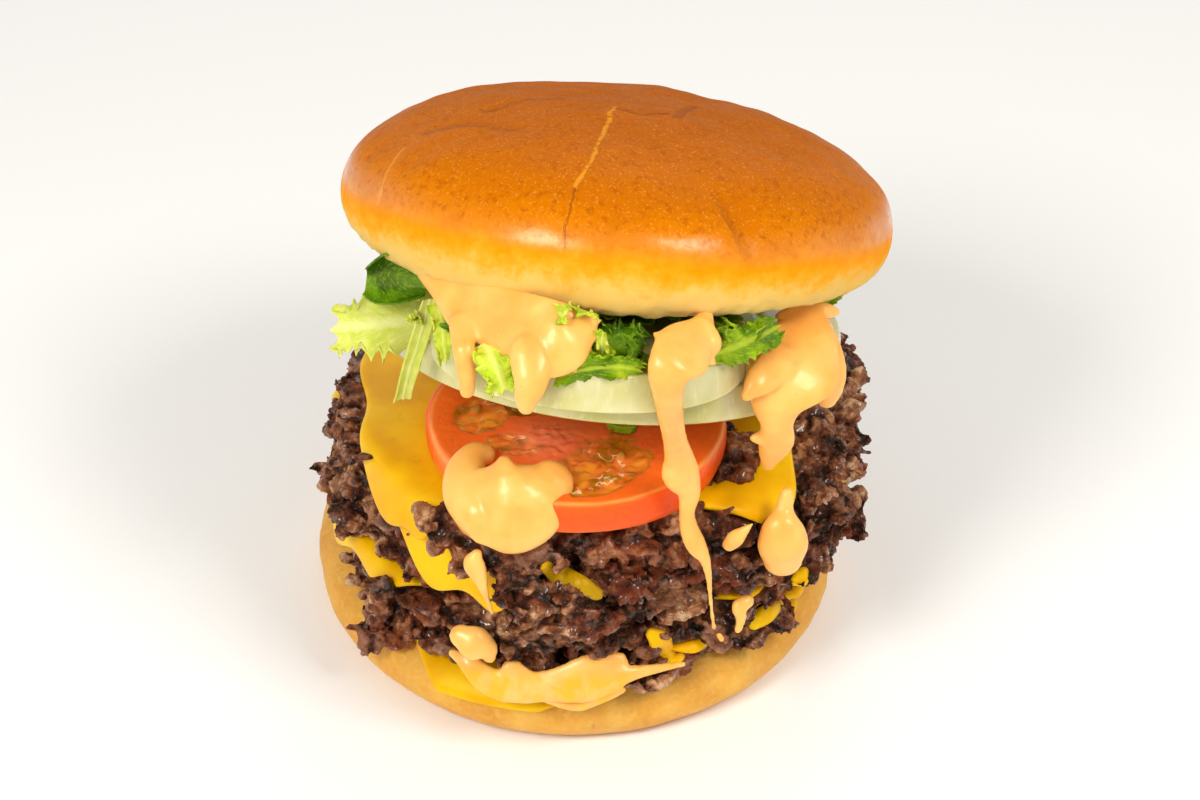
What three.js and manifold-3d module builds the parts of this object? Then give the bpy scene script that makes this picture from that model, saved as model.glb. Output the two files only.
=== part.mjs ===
// A five-patty burger standing on its heel: bun heel, five ragged smashed patties with melted
// cheese slices between them, a tomato slice, two onion slices, frilly lettuce, dripping burger
// sauce and a domed bun crown that leans back on the pile.
//
// Millimetres, +Z up, front towards -Y, right towards +X. The heel stands on z = 0 with the
// origin at the centre of its flat underside. The layers are first stacked flat and level, and
// settle() then gives the pile its slope and sagging edges.

import * as THREE from "three";
import { mergeVertices } from "three/addons/utils/BufferGeometryUtils.js";
import Module from "manifold-3d";

const wasm = await Module();
wasm.setup();

// ---- Driving dimensions ----
const bunRadius = 57;
const heelHeight = 15.5;
const heelWaist = 8;
const pattyCount = 5;
const pattyThickness = 6;
const pattyRadii = [55.5, 56.5, 56, 55.5, 54.5];
const pattyCentres = [[4.5, -2], [3.5, -1.5], [3, -2], [4.5, -3], [5, -4]];
const cheeseThickness = 1.5;
const gap = 0.4;
const cutClearance = 0.32;
const pileSlope = 0.0875;
const sagStart = 49;

const tomatoRadius = 30.2;
const tomatoThickness = 7.2;
const tomatoPlace = [0.5, -32, 62.3];
const tomatoPitch = -5;

const onionPlace = [8, -14, 74.2];
const onionPitch = -19;
const onionRoll = 3.5;
const lowerOnion = { radius: 46, thickness: 7, centre: [0, 0, 0] };
const upperOnion = { radius: 31, thickness: 7.5, centre: [-5.7, -29.5, 7.4] };

const crownPlace = [8.5, -6, 102.7];
const crownPitch = -23.8;
const crownRoll = 5.3;
const crownRadius = 55.3;
const crownDome = 23.4;
const crownCut = 8.5;
const crownRim = 11;

const leafThickness = 0.9;

const layerPitch = pattyThickness + cheeseThickness + 2 * gap;
const firstPatty = heelHeight + cheeseThickness + 2 * gap;
const pileTop = firstPatty + (pattyCount - 1) * layerPitch + pattyThickness;

// ---- Colours and finishes ----
function finish(color, roughness) {
  return new THREE.MeshStandardMaterial({ color, roughness, metalness: 0 });
}

const crust = finish(0xc8823c, 0.35);
const crumb = finish(0xe9b25e, 0.6);
const meat = finish(0x5a3228, 0.55);
const cheese = finish(0xf2b50f, 0.4);
const tomatoFlesh = finish(0xe2562a, 0.3);
const onionFlesh = finish(0xdcdfae, 0.3);
const paleLeaf = finish(0xd6e07a, 0.45);
const greenLeaf = finish(0x76a82a, 0.45);
const darkLeaf = finish(0x3f7020, 0.45);
const sauce = finish(0xfbc87a, 0.3);
const pickle = finish(0x6f7a32, 0.35);

// ---- Uneven shapes: smooth waves and repeatable jags ----
const turn = 2 * Math.PI;
const radians = THREE.MathUtils.degToRad;
const ease = THREE.MathUtils.smoothstep;
const clamp = THREE.MathUtils.clamp;

function ripple(angle, lobes, seed) {
  let sum = 0;
  for (let n = 0; n < 3; n += 1) {
    sum += Math.sin((lobes + n) * angle + seed * (2.4 + 1.7 * n));
  }
  return sum / 2;
}

function jag(seed) {
  const wave = Math.sin(seed * 12.9898 + 4.1) * 43758.5453;
  return 2 * (wave - Math.floor(wave)) - 1;
}

// A bump of height 1 round one compass angle, wide degrees across.
function hump(angle, atDegrees, wide) {
  const off = Math.atan2(Math.sin(angle - radians(atDegrees)), Math.cos(angle - radians(atDegrees)));
  return Math.exp(-((off / radians(wide)) ** 2));
}

// ---- The settled pile: sloping towards the back, its rim sagging more near the top ----
function settle(point) {
  const height = clamp((point.z - heelHeight) / (pileTop - heelHeight), 0, 1.1);
  const reach = Math.hypot(point.x, point.y);
  const angle = Math.atan2(point.y, point.x);
  const sag = (0.7 + 1.6 * height) * (Math.max(0, reach - sagStart) / 10) ** 2;
  const sway = 0.5 * ripple(angle, 2, 5.3) * (reach / bunRadius) ** 2;
  const slope = -pileSlope * point.y;
  return new THREE.Vector3(point.x, point.y, point.z + height * (slope - sag + sway));
}

// ---- Closed meshes ----
function solid(points, faces) {
  const geometry = new THREE.BufferGeometry();
  const positions = points.flatMap((p) => [p.x, p.y, p.z]);
  let volume = 0;
  for (const [a, b, c] of faces) {
    volume += points[a].dot(new THREE.Vector3().crossVectors(points[b], points[c]));
  }
  const outward = faces.map(([a, b, c]) => (volume < 0 ? [a, c, b] : [a, b, c]));
  geometry.setAttribute("position", new THREE.Float32BufferAttribute(positions, 3));
  geometry.setIndex(outward.flat());
  return geometry;
}

// Rings of equal length joined into one skin, each end closed on the middle of its ring.
function loft(rings) {
  const sides = rings[0].length;
  const points = rings.flat();
  const faces = [];
  for (let row = 0; row + 1 < rings.length; row += 1) {
    for (let n = 0; n < sides; n += 1) {
      const a = row * sides + n;
      const b = row * sides + ((n + 1) % sides);
      faces.push([a, b, b + sides], [a, b + sides, a + sides]);
    }
  }
  for (const [row, flip] of [[0, true], [rings.length - 1, false]]) {
    const middle = points.length;
    const centre = new THREE.Vector3();
    rings[row].forEach((p) => centre.addScaledVector(p, 1 / sides));
    points.push(centre);
    for (let n = 0; n < sides; n += 1) {
      const a = row * sides + n;
      const b = row * sides + ((n + 1) % sides);
      faces.push(flip ? [middle, b, a] : [middle, a, b]);
    }
  }
  return solid(points, faces);
}

// A thin solid round a middle surface place(u, v), both faces split into triangles alike.
function sheet(columns, rows, place, thickness) {
  const nudge = 0.002;
  const front = [];
  const back = [];
  for (let j = 0; j <= rows; j += 1) {
    for (let i = 0; i <= columns; i += 1) {
      const u = i / columns;
      const v = j / rows;
      const middle = place(u, v);
      const alongU = place(u + nudge, v).sub(place(u - nudge, v));
      const alongV = place(u, v + nudge).sub(place(u, v - nudge));
      const normal = alongU.cross(alongV).normalize();
      const half = thickness(u, v) / 2;
      front.push(middle.clone().addScaledVector(normal, half));
      back.push(middle.clone().addScaledVector(normal, -half));
    }
  }
  const width = columns + 1;
  const count = front.length;
  const faces = [];
  for (let j = 0; j < rows; j += 1) {
    for (let i = 0; i < columns; i += 1) {
      const a = j * width + i;
      faces.push([a, a + 1, a + width + 1], [a, a + width + 1, a + width]);
      faces.push([count + a, count + a + width + 1, count + a + 1]);
      faces.push([count + a, count + a + width, count + a + width + 1]);
    }
  }
  const rim = [];
  for (let i = 0; i < columns; i += 1) rim.push(i);
  for (let j = 0; j < rows; j += 1) rim.push(j * width + columns);
  for (let i = columns; i > 0; i -= 1) rim.push(rows * width + i);
  for (let j = rows; j > 0; j -= 1) rim.push(j * width);
  rim.forEach((a, n) => {
    const b = rim[(n + 1) % rim.length];
    faces.push([a, count + b, b], [a, count + a, count + b]);
  });
  return solid(front.concat(back), faces);
}

// A thick strand of sauce: [x, y, z, width, depth] stations, flattened against facing.
function strand(stations, facing, sides = 8, steps = 2) {
  const spine = new THREE.CatmullRomCurve3(stations.map(([x, y, z]) => new THREE.Vector3(x, y, z)));
  const last = (stations.length - 1) * steps;
  const outward = new THREE.Vector3(...facing).normalize();
  const rings = [];
  for (let n = 0; n <= last; n += 1) {
    const t = n / last;
    const between = t * (stations.length - 1);
    const near = Math.min(Math.floor(between), stations.length - 2);
    const [width, depth] = [3, 4].map((k) => {
      return THREE.MathUtils.lerp(stations[near][k], stations[near + 1][k], between - near);
    });
    const taper = n === 0 || n === last ? 0.35 : 1;
    const along = spine.getTangent(t);
    const across = new THREE.Vector3().crossVectors(along, outward).normalize();
    const lift = new THREE.Vector3().crossVectors(across, along).normalize();
    const centre = spine.getPoint(t);
    rings.push(Array.from({ length: sides }, (_, k) => {
      const a = (turn * k) / sides;
      return centre.clone()
        .addScaledVector(across, (Math.cos(a) * width * taper) / 2)
        .addScaledVector(lift, (Math.sin(a) * depth * taper) / 2);
    }));
  }
  return loft(rings);
}

// A rounded blob with a lumpy skin.
function blob(centre, radii, seed, sides = 12) {
  const geometry = new THREE.SphereGeometry(1, sides, Math.round(sides * 0.6));
  geometry.deleteAttribute("normal");
  geometry.deleteAttribute("uv");
  const merged = mergeVertices(geometry, 1e-4);
  const skin = merged.getAttribute("position");
  for (let n = 0; n < skin.count; n += 1) {
    const p = new THREE.Vector3().fromBufferAttribute(skin, n);
    const lump = 1 + 0.09 * ripple(Math.atan2(p.y, p.x), 2, seed) + 0.05 * Math.sin(5 * p.z + seed);
    p.multiplyScalar(lump);
    skin.setXYZ(n, centre[0] + p.x * radii[0], centre[1] + p.y * radii[1], centre[2] + p.z * radii[2]);
  }
  return merged;
}

function moved(geometry, change) {
  const skin = geometry.getAttribute("position");
  for (let n = 0; n < skin.count; n += 1) {
    const p = change(new THREE.Vector3().fromBufferAttribute(skin, n));
    skin.setXYZ(n, p.x, p.y, p.z);
  }
  return geometry;
}

// ---- Joining and cutting ----
function toManifold(geometry) {
  return new wasm.Manifold(new wasm.Mesh({
    numProp: 3,
    vertProperties: new Float32Array(geometry.getAttribute("position").array),
    triVerts: new Uint32Array(geometry.getIndex().array),
  }));
}

// Back to a three.js geometry, keeping the largest body where a cut left loose scraps.
function toGeometry(manifold) {
  const bodies = manifold.decompose().sort((a, b) => b.volume() - a.volume());
  const mesh = bodies[0].getMesh();
  const geometry = new THREE.BufferGeometry();
  geometry.setAttribute("position", new THREE.BufferAttribute(new Float32Array(mesh.vertProperties), 3));
  geometry.setIndex(Array.from(mesh.triVerts));
  return geometry;
}

function swollen(geometry) {
  const grown = geometry.clone();
  grown.computeVertexNormals();
  const skin = grown.getAttribute("position");
  const normals = grown.getAttribute("normal");
  for (let n = 0; n < skin.count; n += 1) {
    skin.setXYZ(
      n,
      skin.getX(n) + normals.getX(n) * cutClearance,
      skin.getY(n) + normals.getY(n) * cutClearance,
      skin.getZ(n) + normals.getZ(n) * cutClearance,
    );
  }
  return grown;
}

function carve(geometry, neighbours) {
  let body = toManifold(geometry);
  neighbours.forEach((neighbour) => {
    body = body.subtract(toManifold(swollen(neighbour))).subtract(toManifold(neighbour));
  });
  return toGeometry(body);
}

function fuse(geometries) {
  let body = toManifold(geometries[0]);
  geometries.slice(1).forEach((geometry) => {
    body = body.add(toManifold(geometry));
  });
  return toGeometry(body);
}

// ---- Bun ----
// Height of the heel's upper skin: level in the middle, rounding over at the rim.
const heelFlat = 46;
function heelTop(reach) {
  const over = clamp((reach - heelFlat) / (bunRadius - heelFlat), 0, 1);
  return heelWaist + (heelHeight - heelWaist) * (1 - over ** 2.4) ** (1 / 2.4);
}

function discRings(profile, sides, wobble) {
  return profile.map(([radius, height]) => Array.from({ length: sides }, (_, n) => {
    const angle = (turn * n) / sides;
    const reach = radius * (1 + wobble(angle));
    return new THREE.Vector3(reach * Math.cos(angle), reach * Math.sin(angle), height);
  }));
}

function heelShape() {
  const profile = [[49, 0], [53.4, 1.2], [56, 4]];
  for (const radius of [57, 56, 53, 46]) profile.push([radius, heelTop(radius)]);
  return loft(discRings(profile, 36, (angle) => 0.004 * ripple(angle, 2, 1.7)));
}

function crownShape() {
  const profile = [];
  for (const a of [90, 45]) {
    const reach = crownRadius - crownRim + crownRim * Math.cos(radians(a) * 0.8);
    profile.push([reach, -crownCut * Math.sin(radians(a))]);
  }
  for (const a of [0, 15, 31, 48, 65, 80]) {
    const reach = crownRadius * Math.cos(radians(a)) ** (2 / 2.25);
    profile.push([reach, crownDome * Math.sin(radians(a)) ** (2 / 2.25)]);
  }
  const shape = loft(discRings(profile, 36, (angle) => 0.004 * ripple(angle, 2, 3.1)));
  return moved(shape, (p) => {
    // The fold across the crust towards the front, and the dent pressed in on the right.
    const fold = Math.exp(-(((p.x + 4 + 0.12 * p.y) / 3) ** 2)) * ease(-p.y, -10, 12);
    const dent = Math.exp(-(((p.x - 33) / 6) ** 2) - (((p.y + 26) / 9) ** 2));
    const above = p.z > 0 ? 1 : 0;
    return p.setZ(p.z - above * (0.5 * fold + 1.1 * dent));
  });
}

// ---- Cheese slices ----
// One square slice for the heel and one for each patty: where its middle lies, how far it is
// turned, and where melted cheese runs out further (degrees round, millimetres, degrees wide).
const slices = [
  { centre: [-2, -10], turned: 22, side: 80, runs: [[-98, 5, 18]] },
  { centre: [3, -4], turned: -20, side: 80, runs: [[-47, 7, 8]] },
  { centre: [-1, -2], turned: -4, side: 87, runs: [[-160, 8, 7], [-38, 2, 6]] },
  { centre: [2, -2], turned: 30, side: 86, runs: [[60, 3, 10]] },
  { centre: [0, -5], turned: 14, side: 84, runs: [[-109, 13, 7], [-128, 7, 11], [-77, 9, 4]] },
  { centre: [0, -6], turned: 0, side: 88, runs: [[-129, 2, 7], [-46, 1, 8], [136, -7, 14]] },
];

function pattyBottom(layer) {
  return firstPatty + (layer - 1) * layerPitch;
}

function pattyReach(layer, angle) {
  return pattyRadii[layer - 1] + 1.2 * ripple(angle, 2, layer * 1.9);
}

// How far a slice reaches from a patty's middle in one direction, before it bends over the edge.
function sliceReach(slice, origin, angle) {
  const local = angle - radians(slice.turned);
  const from = new THREE.Vector2(origin[0] - slice.centre[0], origin[1] - slice.centre[1]);
  from.rotateAround(new THREE.Vector2(), -radians(slice.turned));
  const half = slice.side / 2;
  const away = [[Math.cos(local), from.x], [Math.sin(local), from.y]].map(([way, start]) => {
    return (half - Math.sign(way) * start) / Math.max(Math.abs(way), 1e-6);
  });
  const straight = (away[0] ** -12 + away[1] ** -12) ** (-1 / 12);
  const runs = slice.runs.reduce((sum, [at, more, wide]) => sum + more * hump(angle, at, wide), 0);
  return straight + runs + 0.8 * ripple(angle, 9, slice.turned + 2);
}

const pattyBend = 2.6;
const heelBend = 9;
const heelOverhang = 3.4;
const heelRunLimit = 60.5;
const lean = radians(74);
// Over the edge: level up to the bend, then round it, then down at a steep lean.
function overEdge(run, edge, bend) {
  const start = edge - bend;
  const arc = Math.max(0, run - start);
  const turned = Math.min(arc / bend, lean);
  const fall = Math.max(0, arc - bend * lean);
  return {
    reach: Math.min(run, start) + bend * Math.sin(turned) + fall * Math.cos(lean),
    drop: bend * (1 - Math.cos(turned)) + fall * Math.sin(lean),
  };
}

function sliceShape(layer) {
  const slice = slices[layer];
  const origin = layer === 0 ? [0, 0] : pattyCentres[layer - 1];
  const cells = layer > 3 ? 9 : 8;
  const spread = (t) => {
    const s = 2 * t - 1;
    return 0.35 * s + 0.65 * Math.sin((Math.PI / 2) * clamp(s, -1.01, 1.01));
  };
  const place = (u, v) => {
    const a = spread(u);
    const b = spread(v);
    const flat = new THREE.Vector2(a, b).rotateAround(new THREE.Vector2(), radians(slice.turned));
    const angle = Math.atan2(flat.y, flat.x);
    const share = Math.max(Math.abs(a), Math.abs(b));
    const onHeel = layer === 0;
    const run = share * Math.min(sliceReach(slice, origin, angle), onHeel ? heelRunLimit : Infinity);
    const edge = onHeel ? bunRadius + heelOverhang : pattyReach(layer, angle) + 0.3;
    const { reach, drop } = overEdge(run, edge, onHeel ? heelBend : pattyBend);
    const bearing = onHeel ? heelHeight : pattyBottom(layer) + pattyThickness;
    const top = bearing + gap + cheeseThickness / 2;
    return settle(new THREE.Vector3(
      origin[0] + reach * Math.cos(angle),
      origin[1] + reach * Math.sin(angle),
      top - drop,
    ));
  };
  const thin = (u, v) => {
    const rim = Math.min(u, 1 - u, v, 1 - v) < 0.01;
    return cheeseThickness * (rim ? 0.55 : 1);
  };
  return sheet(cells, cells, place, thin);
}

// ---- Patties ----
// Flakes of crisp beef that hang out at the rim: layer, degrees round, outwards, downwards.
const flakes = [
  [1, -136, 3, 4.5], [1, -96, 1.5, 3], [1, -64, 1.5, 3],
  [2, -150, 2, 3], [2, -101, 1.5, 2], [3, -166, 2.5, 2], [3, -20, 4, 0.5], [4, -8, 3, -0.5],
  [4, -64, 2, 2], [5, 172, 3, 0], [5, -22, 1, 1], [5, 12, 2, 0],
];

function pattyShape(layer) {
  const [cx, cy] = pattyCentres[layer - 1];
  const bottom = pattyBottom(layer);
  const above = slices[layer];
  const sides = 48;
  const profile = [
    [0.84, 0, 0.1], [0.97, 0.12, 0.8], [1, 0.42, 1], [0.985, 0.76, 0.9], [0.91, 0.99, 0.3],
  ];
  const rings = profile.map(([share, level, rough], row) => {
    return Array.from({ length: sides }, (_, n) => {
      const angle = (turn * (n + 0.5 * (row % 2))) / sides;
      const smooth = pattyReach(layer, angle);
      const bare = 1 - 0.85 * ease(sliceReach(above, [cx, cy], angle), smooth - 3, smooth + 2);
      const crags = 1.7 * ripple(angle, 8, layer * 3.7) + 1.1 * ripple(angle, 19, layer + row * 0.6)
        + 1.3 * jag(layer * 100 + row * 61 + n);
      let reach = smooth * share + rough * (bare * crags - (1 - bare) * 0.9);
      let height = bottom + pattyThickness * level;
      height += rough * bare * 0.45 * jag(layer * 57 + row * 31 + n * 1.3);
      if (row < profile.length - 1) {
        flakes.filter(([which]) => which === layer).forEach(([, at, out, down]) => {
          const pull = hump(angle, at, 5) * (1.2 - level) * rough;
          reach += out * pull;
          height -= down * pull;
        });
      }
      return settle(new THREE.Vector3(cx + reach * Math.cos(angle), cy + reach * Math.sin(angle), height));
    });
  });
  return loft(rings);
}

// ---- Tomato ----
// Seed chambers in the cut face: centre, half length, half width, turned by, in the slice's plane.
const chambers = [[4, -13, 13, 7, -8], [-17, 2, 9, 6, 60], [15, 9, 11, 6.5, 40], [-3, 17, 10, 6, 0]];

function tomatoShape() {
  const sides = 36;
  const profile = [[0.93, 0], [0.99, 1.4], [1, 4.5], [0.965, tomatoThickness]];
  for (const share of [0.84, 0.7, 0.54, 0.38, 0.2]) profile.push([share, tomatoThickness]);
  const rings = discRings(
    profile.map(([share, height]) => [share * tomatoRadius, height]),
    sides,
    (angle) => 0.018 * ripple(angle, 3, 2.2),
  );
  return moved(loft(rings), (p) => {
    if (p.z < tomatoThickness - 0.1) return p;
    const depth = chambers.reduce((deep, [x, y, long, wide, tilt]) => {
      const local = new THREE.Vector2(p.x - x, p.y - y).rotateAround(new THREE.Vector2(), -radians(tilt));
      const off = Math.hypot(local.x / long, local.y / wide);
      return deep + 1.8 * (1 - ease(off, 0.55, 1.15));
    }, 0);
    return p.setZ(p.z - depth + 0.25 * jag(p.x * 3.1 + p.y));
  });
}

// ---- Onion ----
// A cut slice across the bulb: slightly barrelled skin, its rings standing a little uneven on top.
function onionShape({ radius, thickness, centre }, seed) {
  const profile = [[0.975, 0], [1, 0.3], [1, 0.72], [0.98, 1], [0.86, 1.02], [0.84, 0.93]];
  const rings = discRings(
    profile.map(([share, level]) => [share * radius, level * thickness]),
    32,
    (angle) => 0.012 * ripple(angle, 2, seed),
  );
  return loft(rings).translate(...centre);
}

// ---- The gap between onion and crown, where lettuce and sauce lie ----
function tiltedPlane(place, pitch, roll, offset) {
  const tilt = new THREE.Matrix4().makeRotationFromEuler(
    new THREE.Euler(radians(pitch), radians(roll), 0, "XYZ"),
  );
  const normal = new THREE.Vector3(0, 0, 1).applyMatrix4(tilt);
  const point = new THREE.Vector3(...place).addScaledVector(normal, offset);
  return (x, y) => point.z - (normal.x * (x - point.x) + normal.y * (y - point.y)) / normal.z;
}

const onionTop = tiltedPlane(
  onionPlace, onionPitch, onionRoll, upperOnion.centre[2] + upperOnion.thickness,
);
const crownUnderside = tiltedPlane(crownPlace, crownPitch, crownRoll, -crownCut);

// A point over plan position (x, y): share 0 on the upper onion slice, 1 under the crown.
function nest(x, y, share) {
  const low = onionTop(x, y);
  return new THREE.Vector3(x, y, low + share * (crownUnderside(x, y) - low));
}

// ---- Lettuce ----
// A torn leaf: a spine of points, a half width along it, the way it spreads, and its ruffles.
function leafShape({ spine, across, width, ruffle, waves, seed, cup = 0, cells = [8, 4] }) {
  const curve = new THREE.CatmullRomCurve3(spine.map((p) => new THREE.Vector3(...p)));
  const side = new THREE.Vector3(...across).normalize();
  const place = (u, v) => {
    const t = clamp(u, 0, 1);
    const along = curve.getTangent(t);
    const normal = new THREE.Vector3().crossVectors(along, side).normalize();
    const out = 2 * v - 1;
    const edge = Math.abs(out);
    const teeth = 1 + 0.16 * edge * Math.sin(waves * 7.3 * u + seed + 3 * Math.sign(out));
    const reach = width(t) * out * teeth;
    const lift = ruffle * edge * Math.sin(waves * turn * u + seed + 1.3 * Math.sign(out)) + cup * out * out;
    return curve.getPoint(t)
      .addScaledVector(along, u - t)
      .addScaledVector(side, reach)
      .addScaledVector(normal, lift);
  };
  return sheet(cells[0], cells[1], place, () => leafThickness);
}

// A crumpled leaf that fills the gap all round, like a ruffled disc.
function leafBed(share, reach, seed) {
  const centre = new THREE.Vector2(6, -14);
  return (u, v) => {
    const angle = turn * u;
    const ruffle = 1 + 0.1 * ripple(angle, 5, seed) + 0.06 * ripple(angle, 11, seed * 2);
    const out = 6 + (reach(angle) * ruffle - 6) * v;
    const x = centre.x + out * Math.cos(angle);
    const y = centre.y + out * Math.sin(angle);
    const wave = 0.13 * v * ripple(angle, 8, seed) + 0.08 * Math.sin(5 * v + seed);
    return nest(x, y, share + wave);
  };
}

// Leaf beds wrap right round, so their grid is closed into a ring of skin.
function ringSheet(sides, rows, place) {
  const rings = [];
  const nudge = 0.003;
  for (const face of [1, -1]) {
    const order = face > 0 ? [...Array(rows + 1).keys()] : [...Array(rows + 1).keys()].reverse();
    for (const j of order) {
      rings.push(Array.from({ length: sides }, (_, i) => {
        const u = i / sides;
        const v = j / rows;
        const alongU = place(u + nudge, v).sub(place(u - nudge, v));
        const alongV = place(u, v + nudge).sub(place(u, v - nudge));
        const normal = alongU.cross(alongV).normalize();
        return place(u, v).addScaledVector(normal, (face * leafThickness) / 2);
      }));
    }
  }
  return loft(rings);
}

const leafTints = { pale: paleLeaf, green: greenLeaf, dark: darkLeaf };
const taperBoth = (wide) => (t) => wide * Math.sin(Math.PI * (0.12 + 0.76 * t)) ** 0.7;

const leaves = [
  {
    name: "leaf_left", tint: "pale", across: [0.05, 0.62, 0.78], ruffle: 1.1, waves: 2.2, seed: 1,
    spine: [[-25, -33, 97.5], [-33.5, -36, 97.3], [-41, -37, 97], [-47.5, -36.5, 96]],
    width: (t) => 7.2 - 1.5 * t,
    cells: [8, 4],
  },
  {
    name: "leaf_curl", tint: "dark", across: [0.1, 0.45, 0.9], ruffle: 0.3, waves: 1, seed: 2, cup: -4.5,
    spine: [[-40, -33, 105.2], [-35, -33, 106.2], [-28, -34.5, 106]], width: taperBoth(4.6), cells: [4, 4],
  },
  {
    name: "leaf_stem", tint: "pale", across: [1, 0.05, 0.1], ruffle: 0.15, waves: 1, seed: 3, cup: 0.6,
    spine: [[-27.4, -40.5, 106.2], [-29, -43, 101], [-31.6, -43.5, 92], [-33.6, -42, 82.6]],
    width: (t) => 1.5 + 0.5 * t, cells: [7, 2],
  },
  {
    name: "leaf_frill_left", tint: "pale", across: [1, 0.1, 0.2], ruffle: 1, waves: 2, seed: 4,
    spine: [[-25.5, -44.5, 108], [-24.6, -50, 106.5], [-24.2, -53.5, 100.3]], width: (t) => 3 - 1.2 * t,
    cells: [6, 2],
  },
  {
    name: "leaf_frill_front", tint: "green", across: [0.95, 0.1, 0.3], ruffle: 1.2, waves: 2, seed: 5,
    spine: [[-16.5, -59.5, 110.4], [-14.4, -65, 109.6], [-12.4, -67, 104.4]], width: (t) => 4.4 - 1.4 * t,
    cells: [7, 3],
  },
  {
    name: "leaf_middle", tint: "dark", across: [0.12, 0.35, 0.9], ruffle: 1.5, waves: 2.6, seed: 6,
    spine: [[-1, -59, 109.5], [6, -60, 110], [14, -59, 109]], width: taperBoth(6.2), cells: [9, 4],
  },
  {
    name: "leaf_middle_fold", tint: "green", across: [0.3, 0.5, 0.75], ruffle: 1.3, waves: 2, seed: 8,
    spine: [[-3.5, -66.5, 107.4], [2, -65.5, 109.3], [9, -64.5, 108.8], [13, -64, 107.6]],
    width: taperBoth(3), cells: [8, 3],
  },
  {
    name: "leaf_right", tint: "green", across: [-0.5, 0.3, 0.8], ruffle: 1, waves: 2.2, seed: 7,
    spine: [[24.6, -57, 105.4], [31.5, -54, 106.2], [39, -47, 105]], width: taperBoth(4.6), cells: [8, 4],
  },
  {
    name: "leaf_far_right", tint: "green", across: [0.2, 0.3, 0.9], ruffle: 0.7, waves: 1.5, seed: 9,
    spine: [[46.5, -27, 94.2], [50, -25.5, 94.6], [53.5, -24, 95.2]], width: taperBoth(1.9), cells: [5, 2],
  },
];

// ---- Sauce ----
const forward = [0, -1, 0.35];
const sauces = {
  sauce_left: () => fuse([
    strand([[-27.5, -42, 109.6, 6, 3], [-22, -49.5, 112, 10, 3.4], [-16, -56, 112.2, 13, 3.4],
      [-8, -60, 113.2, 13, 3.6], [-1, -61.5, 114, 11, 3.4], [3.4, -60.5, 113.4, 5, 3]], [0, -0.8, 0.6]),
    strand([[-22, -54, 111, 6, 3], [-20.6, -60.5, 107.6, 5.2, 3.2], [-19.9, -62.8, 102.8, 3.4, 2.8],
      [-19.8, -63.4, 99.4, 3, 2.6]], forward),
    strand([[-4.5, -62.5, 113, 9, 3.4], [-5.4, -68.4, 110.8, 8.4, 3.4], [-7.2, -70, 106.6, 6, 3],
      [-8.6, -70.2, 102.2, 4.6, 2.6]], forward),
  ]),
  sauce_centre: () => fuse([
    strand([[22.5, -54, 111.4, 9, 3], [20.5, -60, 111.6, 12, 3.4], [18.2, -65.5, 108.8, 10, 3.4],
      [17.2, -68.4, 104.8, 7, 3.2], [17.7, -67.8, 100.6, 5.2, 3], [18.6, -63.4, 90.8, 4.6, 3],
      [20, -60, 80, 5, 3.2], [21.2, -59.2, 74.2, 7.4, 3.6], [22.2, -59.4, 67.6, 4.6, 3],
      [23.2, -60.6, 61, 4.4, 2.8], [25, -61.4, 54.6, 2.6, 2], [26.6, -61.8, 47.8, 1.4, 1.4],
      [27.8, -61.6, 40.4, 1.1, 1.1]], forward, 7),
    strand([[20.6, -60.5, 111.4, 5, 3], [25, -60.5, 109.6, 4, 2.8], [28, -59.5, 107.4, 2.6, 2]], forward, 6),
  ]),
  sauce_right: () => fuse([
    strand([[41, -37, 102, 13, 3], [41.6, -43, 99.6, 19, 3.6], [40.6, -48.5, 96, 17, 3.8],
      [39.4, -52, 91.6, 12, 3.6], [38, -53, 86.6, 7.4, 3.4], [37.8, -52.6, 80.4, 6.4, 3.4],
      [37.6, -51.6, 74, 3.6, 2.8]], [0.25, -1, 0.4]),
    strand([[47, -33, 99, 8, 3], [50, -37.6, 92.4, 8, 3.4], [50.4, -38.4, 85.6, 7, 3.4],
      [49.8, -38, 79.4, 5, 3]], [0.6, -1, 0.3], 7),
    strand([[42, -47.5, 97.4, 7, 3.2], [36.8, -51.6, 95.4, 5, 3], [32.4, -54.6, 93.2, 2.4, 2]], forward, 6),
  ]),
  sauce_tomato: () => fuse([
    blob([-18, -53, 69.2], [6.8, 6.4, 5.6], 2, 8),
    blob([-7.6, -56.5, 70.6], [6.4, 6.6, 5.6], 3, 8),
    blob([-12, -60.5, 67.4], [8.4, 4.6, 6.4], 4, 9),
    blob([-18.2, -45.6, 72], [3, 5, 3], 5, 6),
  ]),
  sauce_drip_right: () => fuse([
    strand([[41.4, -49, 64.4, 4, 2.4], [41.6, -52.4, 60, 5, 3]], forward),
    blob([41.7, -52.6, 53], [4.9, 3, 6.2], 6, 11),
  ]),
  sauce_drip_left: () => strand([[-21, -60.4, 56.4, 4.6, 2.6], [-19.6, -62, 52.6, 5, 2.8],
    [-18, -63, 47.6, 2.4, 2], [-16.8, -63.2, 44, 1.6, 1.6]], forward),
  sauce_low_left: () => blob([-18.4, -59.4, 31.4], [4.2, 2.4, 3.6], 7, 9),
  sauce_spot_right: () => blob([32.6, -57, 56.4], [2.9, 1.6, 2.6], 9, 8),
  sauce_base: () => strand([[-22, -55.4, 19.4, 3, 2.4], [-15, -58.6, 18, 5.4, 3.2],
    [-6, -60, 17.4, 6, 3.4], [3, -60.4, 17.2, 5.4, 3.2], [11, -59.8, 17.4, 3.6, 2.6]], [0, -1, 0.8]),
};

// ---- Pickle ----
// One chip on the heel whose edge shows at the front between bun and beef.
const pickleChip = { radius: 12.5, thickness: 1.4, place: [-14.5, -38, heelHeight + gap] };

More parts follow.
